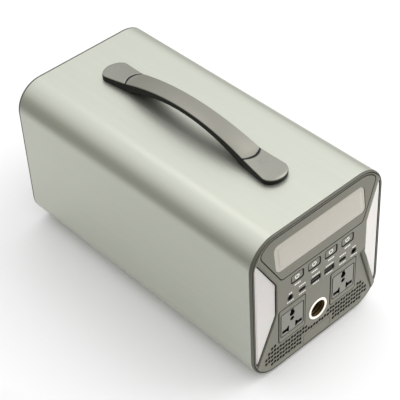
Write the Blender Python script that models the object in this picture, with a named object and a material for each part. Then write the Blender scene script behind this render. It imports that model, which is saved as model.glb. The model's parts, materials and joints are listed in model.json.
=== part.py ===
"""Portable power station: a metal sleeve with a faceted front panel, a rear fan panel,
a fixed arched handle and the battery and electronics inside it.

Sizes are in millimetres and are turned into metres when a mesh becomes an object.
X runs across the front, Y from front to rear, Z up. The origin is under the middle,
on the surface that the feet stand on. On the front panel, "proud" is the distance
that a point stands forward of the sleeve's front edge, and heights there are counted
from the underside of the sleeve.
"""

import math

import bmesh
import bpy
from mathutils import Vector

MM = 0.001
GAP = 0.3                # clearance between pieces that meet
RUN_GAP = 0.4            # clearance all round a button
FAR = 60                 # how far a cutter runs past what it cuts
CLEAR = 16               # a proud distance in front of everything

# Sleeve
WIDTH = 198
HEIGHT = 200
DEPTH = 382              # with the rear rim
CORNER = 35
WALL = 2.5
FOOT_HEIGHT = 3
FOOT_RADIUS = 10
FOOT_X = 52
FOOT_OFFSET = 45         # a foot's middle from the sleeve's end
CORNER_STEPS = 6

# Rims at the sleeve's two ends
LIP = 1.8
LIP_PROUD = 3.1
REAR_RIM = 2
REAR_SUNK = 2            # how far the rear panel sits inside the rim
REAR_THICK = 3

# Front panel facets
WAIST_PROUD = 10         # the front panel's most forward face
DISPLAY_TOP_PROUD = 3.0
DISPLAY_TOP_Z = 196.5
DISPLAY_SLOPE = 0.12
SIDE_SLOPE = 0.24
SIDE_X = 68.1
CREST_SLOPE = 0.072
CREST_Z = 92
CREST_RUN = 0.361        # sideways run of the crest beside the bay for each unit of drop
PANEL_INSET = 2.1
SKIRT_INSET = 2.9
SKIRT_PROUD = 1.9
SKIRT_BACK = -8
SHELL = 2.5

# Recessed lower bay of the front panel
BAY_TOP_Z = 86
BAY_TOP_X = 65.5
BAY_TOP_PROUD = 4.0
BAY_FOOT_RUN = 0.32      # sideways run of the wall's foot for each unit of drop
BAY_FLOOR_SLOPE = 0.009
BAY_WALL_SLOPE = 0.95    # sideways run for each unit of rise
BAY_HEAD_SLOPE = 2.4     # upward run for each unit of rise

# Display
DISPLAY_BOTTOM_Z = 138.8
DISPLAY_FOOT_X = 62.1
DISPLAY_SHOULDER = (88, 184.8)
DISPLAY_CORNER = 30.6
DISPLAY_THICK = 1.3
DISPLAY_LEDGE = 4        # width of the ledge that the frame is bonded to
WINDOW_HALF = 67.8
WINDOW_Z = (150, 185)
WINDOW_CORNER = 7
WINDOW_THICK = 1.2

# Side lights
LIGHT_PROUD = 2.85
LIGHT_X = 94.9
LIGHT_SLOPE = 0.185
LIGHT_THICK = 1.4
LIGHT_LEDGE = 3
LIGHT_INSET = 4.1
LIGHT_NECK = (68.5, 91.5, 136.5)    # its inner edge, and that edge's lower and upper end
LIGHT_ENDS = (25, 179)
BOARD_THICK = 1.6

# Buttons
BUTTON_X = (-38.4, -12.8, 12.8, 38.4)
BUTTON_Z = 128.9
BUTTON_SIZE = (18, 11)
BUTTON_CORNER = 2.5
BUTTON_SUNK = 0.4
BUTTON_LENGTH = 5.6
BUTTON_TRAVEL = 0.8
BUTTON_BOARD = (100, 16)

# Ports
PORT_Z = 105
DC_X = 49.1
USB_C_X = 31.2
USB_A_X = 10.5
DC_RADIUS = 3.9
DC_BORE = 2.8
USB_C_SIZE = (9.6, 3.4)
USB_C_CORNER = 1.6
USB_A_SIZE = (15.2, 7.2)
USB_A_CORNER = 0.6
PORT_SUNK = 0.5
PORT_DEPTH = 14
PORT_BOARD = (112, 12)

# AC sockets
SOCKET_X = 40.1
SOCKET_SIZE = (41, 50)
SOCKET_CORNER = 3
SOCKET_Z = 61.3
SOCKET_PROUD = 0.4
PLATE_SIZE = (33, 34.2)
PLATE_Z = 62
PLATE_PROUD = 5.0
PIN_Z = 51.1             # height of the live and neutral slots
EARTH_RISE = 20.1        # the upper earth hole's height above them
LOWER_EARTH_RISE = 12.6
SOCKET_DEPTH = 26
PIN_DEPTH = 18

# Car socket
CAR_Z = 47.5
CAR_RING = 14
CAR_BARREL = 12.2
CAR_BORE = 10.5
CAR_DEPTH = 36
CAR_FLANGE = (4.1, 5.0)

# Handle
HANDLE_Y = 190           # middle of the handle behind the sleeve's front edge
HANDLE_HALF = 141
HANDLE_SEAM = 95
HANDLE_TIP = 13          # length of the rounded tip
HANDLE_TOP = 26
HANDLE_HOLLOW = 19.5
CAP_HIGH = 11
CAP_LOW = 6
SKIN = 1.6
SCREW_OFFSETS = (104, 122)
SCREW_HOLE = 2.8
SCREW_SHANK = 2.4
SCREW_HEAD = 4.5
SCREW_REACH = 3.8        # how far a screw rises into the handle

# Rear panel
FAN_Z = 118
FAN_SIZE = 80
FAN_DEPTH = 25
FAN_BORE = 38
FAN_HUB = 17
FAN_BLADES = 7
GRILLE_RADIUS = 41
SLOT = 5                 # height of a slot in the fan's finger guard
MULLION = 3
INLET_X = -45
INLET_Z = 40
INLET_SIZE = (32, 25)
INLET_MOUTH = (24.5, 17)
INLET_CORNER = 3
REAR_SCREW_REACH = 80    # from the panel's middle, across and up

# Inside
CELL = (36, 200, 130)    # across, along and up
CELL_COUNT = 4
CELL_GAP = 1
CELL_START = 62
TRAY_Z = 4
FIN_COUNT = 7

Y_FRONT = -(DEPTH + WAIST_PROUD) / 2 + WAIST_PROUD
Y_REAR = Y_FRONT + DEPTH


# ---- places -----------------------------------------------------------------

def proud(distance):
    """Y of a point that stands forward of the sleeve's front edge."""
    return Y_FRONT - distance


def behind(distance):
    """Y of a point behind the sleeve's front edge."""
    return Y_FRONT + distance


def up(height):
    """Z of a point above the sleeve's underside."""
    return height + FOOT_HEIGHT


def display_proud(x, z):
    return DISPLAY_TOP_PROUD + (DISPLAY_TOP_Z - z) * DISPLAY_SLOPE


def light_proud(x, z):
    return LIGHT_PROUD + (LIGHT_X - abs(x)) * LIGHT_SLOPE


def bay_proud(x, z):
    return BAY_TOP_PROUD - (BAY_TOP_Z - z) * BAY_FLOOR_SLOPE


# ---- outlines, as lists of (x, z) ------------------------------------------

def arc(centre_x, centre_z, radius, start, end, steps):
    """Points along an arc, with its angles in degrees."""
    points = []
    for step in range(steps + 1):
        angle = math.radians(start + (end - start) * step / steps)
        points.append((centre_x + radius * math.cos(angle), centre_z + radius * math.sin(angle)))
    return points


def rounded_rectangle(centre, size, radius, steps=3):
    half_x = size[0] / 2 - radius
    half_z = size[1] / 2 - radius
    points = []
    for quarter, (sx, sz) in enumerate(((1, 1), (-1, 1), (-1, -1), (1, -1))):
        middle = (centre[0] + sx * half_x, centre[1] + sz * half_z)
        points += arc(*middle, radius, quarter * 90, quarter * 90 + 90, steps)
    return points


def sleeve_outline(inset):
    """The sleeve's cross-section, drawn in by an inset."""
    size = (WIDTH - 2 * inset, HEIGHT - 2 * inset)
    return rounded_rectangle((0, HEIGHT / 2), size, CORNER - inset, CORNER_STEPS)


def opening(centre, size, corner, steps):
    """The hole for a rectangular piece, with clearance all round."""
    wide = (size[0] + 2 * GAP, size[1] + 2 * GAP)
    return rounded_rectangle(centre, wide, corner + GAP, steps)


def circle(centre, radius, steps):
    return arc(*centre, radius, 0, 360 - 360 / steps, steps - 1)


def shrink(outline, amount):
    """Move each side of an anticlockwise outline inwards."""
    count = len(outline)
    result = []
    for i in range(count):
        before = Vector(outline[i - 1])
        here = Vector(outline[i])
        after = Vector(outline[(i + 1) % count])
        first = (here - before).normalized()
        second = (after - here).normalized()
        normal_1 = Vector((-first.y, first.x))
        normal_2 = Vector((-second.y, second.x))
        middle = normal_1 + normal_2
        result.append(tuple(here + middle * (2 * amount / middle.length_squared)))
    return result


def fillet(before, corner, after, radius, steps):
    """Points of an arc that rounds a corner between two straight runs."""
    corner = Vector(corner)
    first = (Vector(before) - corner).normalized()
    second = (Vector(after) - corner).normalized()
    half = first.angle(second) / 2
    middle = corner + (first + second).normalized() * radius / math.sin(half)
    start = corner + first * radius / math.tan(half) - middle
    end = corner + second * radius / math.tan(half) - middle
    turn = start.angle_signed(end)
    points = []
    for step in range(steps + 1):
        angle = math.atan2(start.y, start.x) - turn * step / steps
        points.append((middle.x + radius * math.cos(angle), middle.y + radius * math.sin(angle)))
    return points


def display_outline():
    """The display frame: a wide hexagon whose top corners follow the sleeve's."""
    foot = (DISPLAY_FOOT_X, DISPLAY_BOTTOM_Z)
    shoulder = DISPLAY_SHOULDER
    top = arc(WIDTH / 2 - CORNER, HEIGHT - CORNER, DISPLAY_CORNER, 52, 90, 4)
    right = fillet((0, DISPLAY_BOTTOM_Z), foot, shoulder, 6, 3)
    right += fillet(foot, shoulder, top[0], 7, 3) + top
    return right + [(-x, z) for x, z in reversed(right)]


def light_outline(side):
    """A side light: straight inside edges, and an outer edge that follows the sleeve."""
    corner = CORNER - LIGHT_INSET
    reach = WIDTH / 2 - CORNER
    outer = arc(reach, CORNER, corner, -14, 0, 2) + arc(reach, HEIGHT - CORNER, corner, 0, 22, 3)
    neck, neck_low, neck_high = LIGHT_NECK
    points = [(neck, neck_low)] + outer + [(neck, neck_high)]
    if side < 0:
        points = [(-x, z) for x, z in reversed(points)]
    return points


def light_core(side, inset):
    """The four straight sides of a side light, drawn in by an inset."""
    neck, neck_low, neck_high = LIGHT_NECK
    low, high = LIGHT_ENDS
    points = [(neck, neck_low), (LIGHT_X, low), (LIGHT_X, high), (neck, neck_high)]
    if side < 0:
        points = [(-x, z) for x, z in reversed(points)]
    return shrink(points, inset)


# ---- meshes -----------------------------------------------------------------

def level(value):
    """A function that is the same everywhere, for a flat front or back."""
    return lambda x, z: value


def prism(outline, front, back, mesh=None):
    """Closed solid over an outline, between two proud distances or functions of (x, z)."""
    front = front if callable(front) else level(front)
    back = back if callable(back) else level(back)
    mesh = mesh or bmesh.new()
    near = [mesh.verts.new((x, proud(front(x, z)), up(z))) for x, z in outline]
    far = [mesh.verts.new((x, proud(back(x, z)), up(z))) for x, z in outline]
    mesh.faces.new(near)
    mesh.faces.new(list(reversed(far)))
    for i in range(len(outline)):
        j = (i + 1) % len(outline)
        mesh.faces.new((near[j], near[i], far[i], far[j]))
    return mesh


def loop_solid(rings, closed):
    """Skin a list of rings of points; a closed list joins its last ring to its first."""
    mesh = bmesh.new()
    loops = [[mesh.verts.new(point) for point in ring] for ring in rings]
    pairs = list(zip(loops, loops[1:]))
    if closed:
        pairs.append((loops[-1], loops[0]))
    else:
        mesh.faces.new(loops[0])
        mesh.faces.new(list(reversed(loops[-1])))
    for first, second in pairs:
        for i in range(len(first)):
            j = (i + 1) % len(first)
            mesh.faces.new((first[i], first[j], second[j], second[i]))
    return mesh


def frame_ring(sections):
    """A closed rim round the sleeve from (inset, proud distance) pairs."""
    rings = []
    for inset, distance in sections:
        rings.append([(x, proud(distance), up(z)) for x, z in sleeve_outline(inset)])
    return loop_solid(rings, closed=True)


def lathe(profile, centre, steps):
    """Turn a profile of (radius, proud distance) about an axis along Y.

    A profile that starts and ends at radius 0 gives a solid body.
    """
    mesh = bmesh.new()
    loops = []
    for radius, distance in profile:
        if radius == 0:
            loops.append([mesh.verts.new((centre[0], proud(distance), up(centre[1])))])
        else:
            ring = circle(centre, radius, steps)
            loops.append([mesh.verts.new((x, proud(distance), up(z))) for x, z in ring])
    pairs = list(zip(loops, loops[1:]))
    if len(loops[0]) > 1:
        pairs.append((loops[-1], loops[0]))
    for first, second in pairs:
        for i in range(steps):
            j = (i + 1) % steps
            corners = [first[i % len(first)], first[j % len(first)]]
            corners += [second[j % len(second)], second[i % len(second)]]
            corners = list(dict.fromkeys(corners))
            mesh.faces.new(corners)
    return mesh


def box(low, high):
    """A box between two corners, in the object's own frame."""
    mesh = bmesh.new()
    corners = [(low[0], low[2]), (high[0], low[2]), (high[0], high[2]), (low[0], high[2])]
    near = [mesh.verts.new((x, low[1], z)) for x, z in corners]
    far = [mesh.verts.new((x, high[1], z)) for x, z in corners]
    mesh.faces.new(near)
    mesh.faces.new(list(reversed(far)))
    for i in range(4):
        j = (i + 1) % 4
        mesh.faces.new((near[j], near[i], far[i], far[j]))
    return mesh


def hull(points):
    mesh = bmesh.new()
    for point in points:
        mesh.verts.new(point)
    bmesh.ops.convex_hull(mesh, input=mesh.verts)
    return mesh


def upright(centre, profile, steps):
    """Turn a profile of (radius, z) about a vertical axis at (x, y)."""
    mesh = bmesh.new()
    loops = []
    for radius, z in profile:
        ring = circle(centre, radius, steps)
        loops.append([mesh.verts.new((x, y, z)) for x, y in ring])
    mesh.faces.new(loops[0])
    mesh.faces.new(loops[-1])
    for first, second in zip(loops, loops[1:]):
        for i in range(steps):
            j = (i + 1) % steps
            mesh.faces.new((first[i], first[j], second[j], second[i]))
    return mesh


def slice_front(mesh, point, normal):
    """Cut away what lies on the normal's side of a plane and close the cut."""
    geometry = mesh.verts[:] + mesh.edges[:] + mesh.faces[:]
    cut = bmesh.ops.bisect_plane(
        mesh, geom=geometry, plane_co=point, plane_no=normal, clear_outer=True, dist=1e-5
    )
    edges = [item for item in cut["geom_cut"] if isinstance(item, bmesh.types.BMEdge)]
    bmesh.ops.contextual_create(mesh, geom=edges)


# ---- objects ----------------------------------------------------------------

def material(name, colour, roughness, metallic=0.0):
    made = bpy.data.materials.new(name)
    made.use_nodes = True
    shader = made.node_tree.nodes["Principled BSDF"]
    shader.inputs["Base Color"].default_value = (*colour, 1)
    shader.inputs["Roughness"].default_value = roughness
    shader.inputs["Metallic"].default_value = metallic
    return made


def add(name, mesh, finish=None, origin=(0, 0, 0)):
    """Turn a millimetre mesh into an object in metres, with its origin where asked."""
    bmesh.ops.recalc_face_normals(mesh, faces=mesh.faces)
    for vertex in mesh.verts:
        vertex.co = (vertex.co - Vector(origin)) * MM
    data = bpy.data.meshes.new(name)
    mesh.to_mesh(data)
    mesh.free()
    thing = bpy.data.objects.new(name, data)
    thing.location = Vector(origin) * MM
    bpy.context.scene.collection.objects.link(thing)
    if finish:
        data.materials.append(finish)
    data.shade_smooth()
    data.set_sharp_from_angle(angle=math.radians(30))
    return thing


def cutter(name, mesh):
    thing = add(name, mesh)
    thing.hide_render = True
    thing.display_type = "WIRE"
    return thing


def boolean(target, tool, operation="DIFFERENCE"):
    modifier = target.modifiers.new(tool.name, "BOOLEAN")
    modifier.operation = operation
    modifier.solver = "EXACT"
    modifier.object = tool


# ---- front panel -------------------------------------------------------------

def front_block(name, thin, maker):
    """The front panel's outer form, or with thin > 0 the hollow behind its shell."""
    rear = SKIRT_BACK if thin == 0 else SKIRT_BACK - FAR
    rings = []
    sections = ((SKIRT_INSET, rear), (SKIRT_INSET, SKIRT_PROUD), (PANEL_INSET, SKIRT_PROUD),
                (PANEL_INSET, CLEAR))
    for inset, distance in sections:
        edge = SKIRT_INSET + thin if thin else inset
        rings.append([(x, proud(distance), up(z)) for x, z in sleeve_outline(edge)])
    mesh = loop_solid(rings, closed=False)
    slice_front(mesh, (0, proud(WAIST_PROUD - thin), 0), (0, -1, 0))
    top = Vector((0, proud(DISPLAY_TOP_PROUD - thin), up(DISPLAY_TOP_Z)))
    slice_front(mesh, top, (0, -1, DISPLAY_SLOPE))
    crest = Vector((0, proud(WAIST_PROUD - thin), up(CREST_Z)))
    slice_front(mesh, crest, (0, -1, -CREST_SLOPE))
    block = maker(name, mesh)
    boolean(block, bay_cutter(name, thin))
    for side in (-1, 1):
        boolean(block, side_cutter(name, side, thin))
    return block


def bay_cutter(name, thin):
    """The recess that the sockets and vents sit in, with sloping walls."""
    head = BAY_TOP_Z + thin * math.hypot(1, BAY_HEAD_SLOPE)
    foot = BAY_TOP_X + thin * math.hypot(1, BAY_WALL_SLOPE)
    low = -FAR / 2
    front = CLEAR
    points = []
    for side in (-1, 1):
        for z, distance in ((head, bay_proud(0, head) - thin), (low, bay_proud(0, low) - thin)):
            x = foot + (head - z) * BAY_FOOT_RUN
            points.append((side * x, proud(distance), up(z)))
        rise = (front - bay_proud(0, head)) * BAY_HEAD_SLOPE
        for z in (head + rise, low):
            floor = bay_proud(0, z) - thin
            x = foot + (head - z) * BAY_FOOT_RUN + (front - floor) * BAY_WALL_SLOPE
            points.append((side * x, proud(front), up(z)))
    return cutter(name + "_bay_cutter", hull(points))


def side_cutter(name, side, thin):
    """Cuts the facet outside the waist, down to the crest beside the bay."""
    inner = SIDE_X - thin * 0.2
    low = -FAR / 2
    outline = [(inner, CREST_Z), (inner + (CREST_Z - low) * CREST_RUN, low), (WIDTH, low),
               (WIDTH, HEIGHT + FAR), (inner, HEIGHT + FAR)]
    if side < 0:
        outline = [(-x, z) for x, z in reversed(outline)]

    def facet(x, z):
        return WAIST_PROUD - thin - (abs(x) - SIDE_X) * SIDE_SLOPE

    label = "left" if side < 0 else "right"
    return cutter(f"{name}_{label}_cutter", prism(outline, CLEAR + 4, facet))


def front_openings():
    """One closed prism for each thing that shows through the front panel."""
    mesh = bmesh.new()
    reach = (CLEAR, -FAR / 2)
    outlines = [shrink(display_outline(), DISPLAY_LEDGE)]
    for side in (-1, 1):
        outlines.append(light_core(side, LIGHT_LEDGE))
        outlines.append(circle((side * DC_X, PORT_Z), DC_RADIUS + GAP, 12))
        outlines.append(opening((side * USB_C_X, PORT_Z), USB_C_SIZE, USB_C_CORNER, 3))
        outlines.append(opening((side * USB_A_X, PORT_Z), USB_A_SIZE, USB_A_CORNER, 1))
        outlines.append(opening((side * SOCKET_X, SOCKET_Z), SOCKET_SIZE, SOCKET_CORNER, 3))
    for x in BUTTON_X:
        outlines.append(rounded_rectangle((x, BUTTON_Z), BUTTON_SIZE, BUTTON_CORNER))
    outlines.append(circle((0, CAR_Z), CAR_BARREL + 0.5, 24))
    for outline in outlines:
        prism(outline, *reach, mesh)
    return cutter("front_openings", mesh)


def front_pockets():
    """Shallow pockets that the display frame and the side lights are bonded into."""
    mesh = bmesh.new()
    front = CLEAR

    def display_floor(x, z):
        return display_proud(x, z) - DISPLAY_THICK - GAP

    def light_floor(x, z):
        return light_proud(x, z) - LIGHT_THICK - GAP

    prism(shrink(display_outline(), -GAP), front, display_floor, mesh)
    for side in (-1, 1):
        prism(shrink(light_outline(side), -GAP), front, light_floor, mesh)
    return cutter("front_pockets", mesh)


def make_front_panel(grey, dark):
    panel = front_block("front_panel", 0, lambda name, mesh: add(name, mesh, grey))
    boolean(panel, front_block("front_hollow", SHELL, cutter))
    boolean(panel, front_pockets())
    boolean(panel, front_openings())
    sections = ((0, GAP), (0, 1.5), (0.5, 2.6), (1.6, LIP_PROUD), (LIP, LIP_PROUD),
                (LIP, 1.6), (WALL, 1.6), (WALL, GAP))
    add("front_trim_ring", frame_ring(sections), dark)


def make_display(grey, clear, dark):
    def back(x, z):
        return display_proud(x, z) - DISPLAY_THICK

    centre = (0, sum(WINDOW_Z) / 2)
    size = (2 * WINDOW_HALF, WINDOW_Z[1] - WINDOW_Z[0])
    window = rounded_rectangle(centre, size, WINDOW_CORNER, 4)
    frame = add("display_frame", prism(display_outline(), display_proud, back), grey)
    boolean(frame, cutter("window_cutter", prism(window, CLEAR, -10)))

    def glass_front(x, z):
        return display_proud(x, z) - GAP

    def glass_back(x, z):
        return display_proud(x, z) - WINDOW_THICK

    add("display_window", prism(shrink(window, GAP), glass_front, glass_back), clear)
    module = rounded_rectangle(centre, (126, 30), 2, 1)

    def module_front(x, z):
        return display_proud(x, z) - SHELL - 0.5

    def module_back(x, z):
        return display_proud(x, z) - 9

    add("lcd_module", prism(module, module_front, module_back), dark)


def make_lights(white, board):
    for side, label in ((-1, "left"), (1, "right")):
        outline = light_outline(side)

        def back(x, z):
            return light_proud(x, z) - LIGHT_THICK

        add(f"light_diffuser_{label}", prism(outline, light_proud, back), white)

        def board_front(x, z):
            return light_proud(x, z) - SHELL - 2

        def board_back(x, z):
            return light_proud(x, z) - SHELL - 2 - BOARD_THICK

        inner = light_core(side, LIGHT_LEDGE + 2)
        add(f"led_board_{label}", prism(inner, board_front, board_back), board)


def make_buttons(grey, board):
    for number, x in enumerate(BUTTON_X, 1):
        size = (BUTTON_SIZE[0] - 2 * RUN_GAP, BUTTON_SIZE[1] - 2 * RUN_GAP)
        outline = rounded_rectangle((x, BUTTON_Z), size, BUTTON_CORNER - RUN_GAP)
        front = WAIST_PROUD - BUTTON_SUNK
        mesh = prism(outline, front, front - BUTTON_LENGTH)
        add(f"output_button_{number}", mesh, grey, (x, proud(front), up(BUTTON_Z)))
    front = WAIST_PROUD - BUTTON_SUNK - BUTTON_LENGTH - BUTTON_TRAVEL - GAP
    outline = rounded_rectangle((0, BUTTON_Z - 1), BUTTON_BOARD, 1, 1)
    add("button_board", prism(outline, front, front - BOARD_THICK), board)


def make_ports(metal, plastic, board):
    front = WAIST_PROUD - PORT_SUNK
    back = front - PORT_DEPTH
    for side, label in ((-1, "left"), (1, "right")):
        x = side * DC_X
        bottom = front - 10
        jack = [(0, front - 2), (1, front - 2), (1, bottom), (DC_BORE, bottom), (DC_BORE, front),
                (DC_RADIUS, front), (DC_RADIUS, back), (0, back)]
        add(f"dc_jack_{label}", lathe(jack, (x, PORT_Z), 12), plastic)
        x = side * USB_C_X
        make_usb(f"usb_c_port_{label}", x, USB_C_SIZE, USB_C_CORNER, (6.6, 0.8), 0, metal)
        x = side * USB_A_X
        make_usb(f"usb_a_port_{label}", x, USB_A_SIZE, USB_A_CORNER, (11.6, 2.2), 1.5, metal)
    outline = rounded_rectangle((0, PORT_Z), PORT_BOARD, 1, 1)
    add("port_board", prism(outline, back - GAP, back - GAP - BOARD_THICK), board)


def make_usb(name, x, size, corner, tongue, rise, metal):
    """A connector shell with a blind mouth and a tongue standing in it."""
    front = WAIST_PROUD - PORT_SUNK
    back = front - PORT_DEPTH
    outer = rounded_rectangle((x, PORT_Z), size, corner, 2)
    mouth = rounded_rectangle((x, PORT_Z), (size[0] - 0.8, size[1] - 0.8), corner * 0.7, 2)
    shell = add(name, prism(outer, front, back), metal)
    hole = cutter(name + "_mouth", prism(mouth, CLEAR, back + 3))
    blade = rounded_rectangle((x, PORT_Z + rise), tongue, 0.2, 1)
    boolean(hole, cutter(name + "_tongue", prism(blade, front - 0.6, back - 1)))
    boolean(shell, hole)


def earth_outline(x, z):
    """Upper keyhole of a universal socket: a round hole with a square head."""
    return arc(x, z, 3.6, -230, 50, 8) + [(x + 2.2, z + 6.2), (x - 2.2, z + 6.2)]


def blade_outline(x, z, side):
    """A flat slot whose inner end is a taller blade slot."""
    points = [(5, -4.4), (7.6, -3.2), (7.6, -2.2), (15, -2.2), (15, 2.2), (8.2, 2.2),
              (6.6, 4.8), (5, 4.8)]
    points = [(x + side * a, z + b) for a, b in points]
    return points if side > 0 else points[::-1]


def make_sockets(grey, metal, bright):
    for side, label in ((-1, "left"), (1, "right")):
        x = side * SOCKET_X

        def face(x, z):
            return bay_proud(x, z) + SOCKET_PROUD

        outline = rounded_rectangle((x, SOCKET_Z), SOCKET_SIZE, SOCKET_CORNER)
        body = prism(outline, face, BAY_TOP_PROUD - SOCKET_DEPTH)
        socket = add(f"ac_socket_{label}", body, grey)
        plate = prism(rounded_rectangle((x, PLATE_Z), PLATE_SIZE, 1.5, 2), PLATE_PROUD, 0)
        boolean(socket, cutter(f"socket_plate_{label}", plate), "UNION")
        holes = bmesh.new()
        reach = (CLEAR, BAY_TOP_PROUD - PIN_DEPTH)
        prism(earth_outline(x, PIN_Z + EARTH_RISE), *reach, holes)
        prism(circle((x, PIN_Z + LOWER_EARTH_RISE), 2.7, 10), *reach, holes)
        for end in (-1, 1):
            prism(blade_outline(x, PIN_Z, end), *reach, holes)
        boolean(socket, cutter(f"pin_holes_{label}", holes))
    seat, front = CAR_FLANGE
    back = seat - CAR_DEPTH
    barrel = [(0, back), (CAR_BARREL, back), (CAR_BARREL, seat), (CAR_RING, seat),
              (CAR_RING, front - 0.5), (CAR_RING - 0.5, front), (CAR_BORE + 0.7, front),
              (CAR_BORE, front - 0.7), (CAR_BORE, back + 2), (0, back + 2)]
    add("car_socket", lathe(barrel, (0, CAR_Z), 24), bright)
    base = back + 2 + GAP
    contact = [(0, base), (4, base), (4, base + 1.5), (2.2, base + 1.5), (2.2, base + 5),
               (0, base + 6.5)]
    add("car_socket_contact", lathe(contact, (0, CAR_Z), 12), metal)


# ---- case --------------------------------------------------------------------

def handle_screw_places():
    middle = behind(HANDLE_Y)
    return [middle + side * offset for side in (-1, 1) for offset in SCREW_OFFSETS]


def make_case(anodised, rubber):
    last = REAR_RIM + GAP - DEPTH
    rings = []
    for inset, distance in ((0, 0), (0, last), (WALL, last), (WALL, 0)):
        rings.append([(x, proud(distance), up(z)) for x, z in sleeve_outline(inset)])
    sleeve = add("case_sleeve", loop_solid(rings, closed=True), anodised)
    for number, y in enumerate(handle_screw_places(), 1):
        tool = upright((0, y), ((SCREW_HOLE, up(HEIGHT - 10)), (SCREW_HOLE, up(HEIGHT + 10))), 10)
        boolean(sleeve, cutter(f"sleeve_hole_{number}", tool))
    for side, label in ((-1, "left"), (1, "right")):
        for y, end in ((behind(FOOT_OFFSET), "front"), (Y_REAR - FOOT_OFFSET, "rear")):
            profile = ((FOOT_RADIUS - 1, 0), (FOOT_RADIUS, 0.8), (FOOT_RADIUS, FOOT_HEIGHT - GAP))
            foot = upright((side * FOOT_X, y), profile, 16)
            add(f"foot_{end}_{label}", foot, rubber)


# ---- handle ------------------------------------------------------------------

def handle_width(t):
    """Half width at a distance t from the handle's middle."""
    t = abs(t)
    straight = HANDLE_HALF - HANDLE_TIP
    if t <= HANDLE_SEAM:
        return 11.5 + 2 * (t / HANDLE_SEAM) ** 2
    if t <= straight:
        return 13.5 + 4 * (t - HANDLE_SEAM) / (straight - HANDLE_SEAM)
    return 17.5 * math.sqrt(max(0.0, 1 - ((t - straight) / HANDLE_TIP) ** 2))


def handle_top(t):
    t = abs(t)
    if t <= HANDLE_SEAM:
        return HANDLE_TOP - (HANDLE_TOP - CAP_HIGH) * (t / HANDLE_SEAM) ** 2
    along = (t - HANDLE_SEAM) / (HANDLE_HALF - HANDLE_SEAM)
    return CAP_LOW + (CAP_HIGH - CAP_LOW) * (1 - along) ** 2


def handle_bottom(t):
    reach = HANDLE_SEAM - 2
    return GAP + HANDLE_HOLLOW * max(0.0, 1 - (t / reach) ** 2)


def handle_stretch(stations, low, high):
    """A bar along the handle with a chamfered upper edge."""
    rings = []
    for t in stations:
        half = max(handle_width(t), 1.0)
        z_low = up(HEIGHT + low(t))
        z_high = up(HEIGHT + high(t))
        bevel = min(1.2, (z_high - z_low) / 2, half / 2)
        section = [(-half, z_low), (half, z_low), (half, z_high - bevel), (half - bevel, z_high),
                   (bevel - half, z_high), (-half, z_high - bevel)]
        rings.append([(x, behind(HANDLE_Y + t), z) for x, z in section])
    return loop_solid(rings, closed=False)


def spaced(start, end, steps):
    return [start + (end - start) * i / steps for i in range(steps + 1)]


def tip_stations(start):
    """Stations from a seam to the rounded tip, closer together where it turns."""
    straight = HANDLE_HALF - HANDLE_TIP
    turn = [straight + HANDLE_TIP * math.sin(math.radians(a)) for a in (25, 45, 62, 76, 86)]
    return spaced(start, straight, 4) + turn


def make_handle(black, grey, steel):
    seam = HANDLE_SEAM
    tip = tip_stations(seam)
    middle = spaced(-seam, seam, 16)
    along = [-t for t in reversed(tip)] + middle[1:-1] + tip

    def core_top(t):
        return handle_top(t) - SKIN - GAP

    core = add("handle_core", handle_stretch(along, handle_bottom, core_top), black)

    def skin_foot(t):
        return handle_top(t) - SKIN

    grip = spaced(GAP - seam, seam - GAP, 16)
    add("handle_grip_cover", handle_stretch(grip, skin_foot, handle_top), grey)
    for side, label in ((-1, "front"), (1, "rear")):
        stations = [side * t for t in tip_stations(seam + GAP)]
        add(f"handle_cap_{label}", handle_stretch(sorted(stations), skin_foot, handle_top), grey)
    inside = up(HEIGHT - WALL)
    for number, y in enumerate(handle_screw_places(), 1):
        tip = up(HEIGHT + SCREW_REACH)
        tool = upright((0, y), ((SCREW_HOLE, inside - 2), (SCREW_HOLE, tip + SCREW_HOLE - SCREW_SHANK)), 10)
        boolean(core, cutter(f"handle_hole_{number}", tool))
        seat = inside - GAP
        profile = ((SCREW_HEAD, seat - 3), (SCREW_HEAD, seat), (SCREW_SHANK, seat), (SCREW_SHANK, tip))
        add(f"handle_screw_{number}", upright((0, y), profile, 10), steel)


# ---- rear ---------------------------------------------------------------------

def rear(distance):
    """Proud distance of a point in front of the sleeve's rear edge."""
    return distance - DEPTH


def make_rear(grey, dark, steel, plastic):
    sections = ((0, rear(0)), (0, rear(REAR_RIM)), (WALL, rear(REAR_RIM)), (WALL, rear(0)))
    add("rear_trim_ring", frame_ring(sections), dark)
    plate = prism(sleeve_outline(SKIRT_INSET), rear(REAR_SUNK + REAR_THICK), rear(REAR_SUNK))
    panel = add("rear_panel", plate, grey)
    tools = bmesh.new()
    through = (rear(10), rear(-10))
    prism(circle((0, FAN_Z), GRILLE_RADIUS + GAP, 32), *through, tools)
    inlet = (INLET_SIZE[0] + 2 * GAP, INLET_SIZE[1] + 2 * GAP)
    prism(rounded_rectangle((INLET_X, INLET_Z), inlet, INLET_CORNER), *through, tools)
    reach = REAR_SCREW_REACH
    places = [(sx * reach, HEIGHT / 2 + sz * reach) for sx in (-1, 1) for sz in (-1, 1)]
    for place in places:
        prism(circle(place, 1.9, 10), *through, tools)
    boolean(panel, cutter("rear_openings", tools))
    for number, place in enumerate(places, 1):
        seat = rear(REAR_SUNK - GAP)
        profile = [(0, rear(10)), (1.5, rear(10)), (1.5, seat), (3.2, seat), (2.6, rear(GAP)),
                   (0, rear(GAP))]
        add(f"rear_screw_{number}", lathe(profile, place, 10), steel)
    make_grille(dark)
    make_inlet(plastic)


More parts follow.
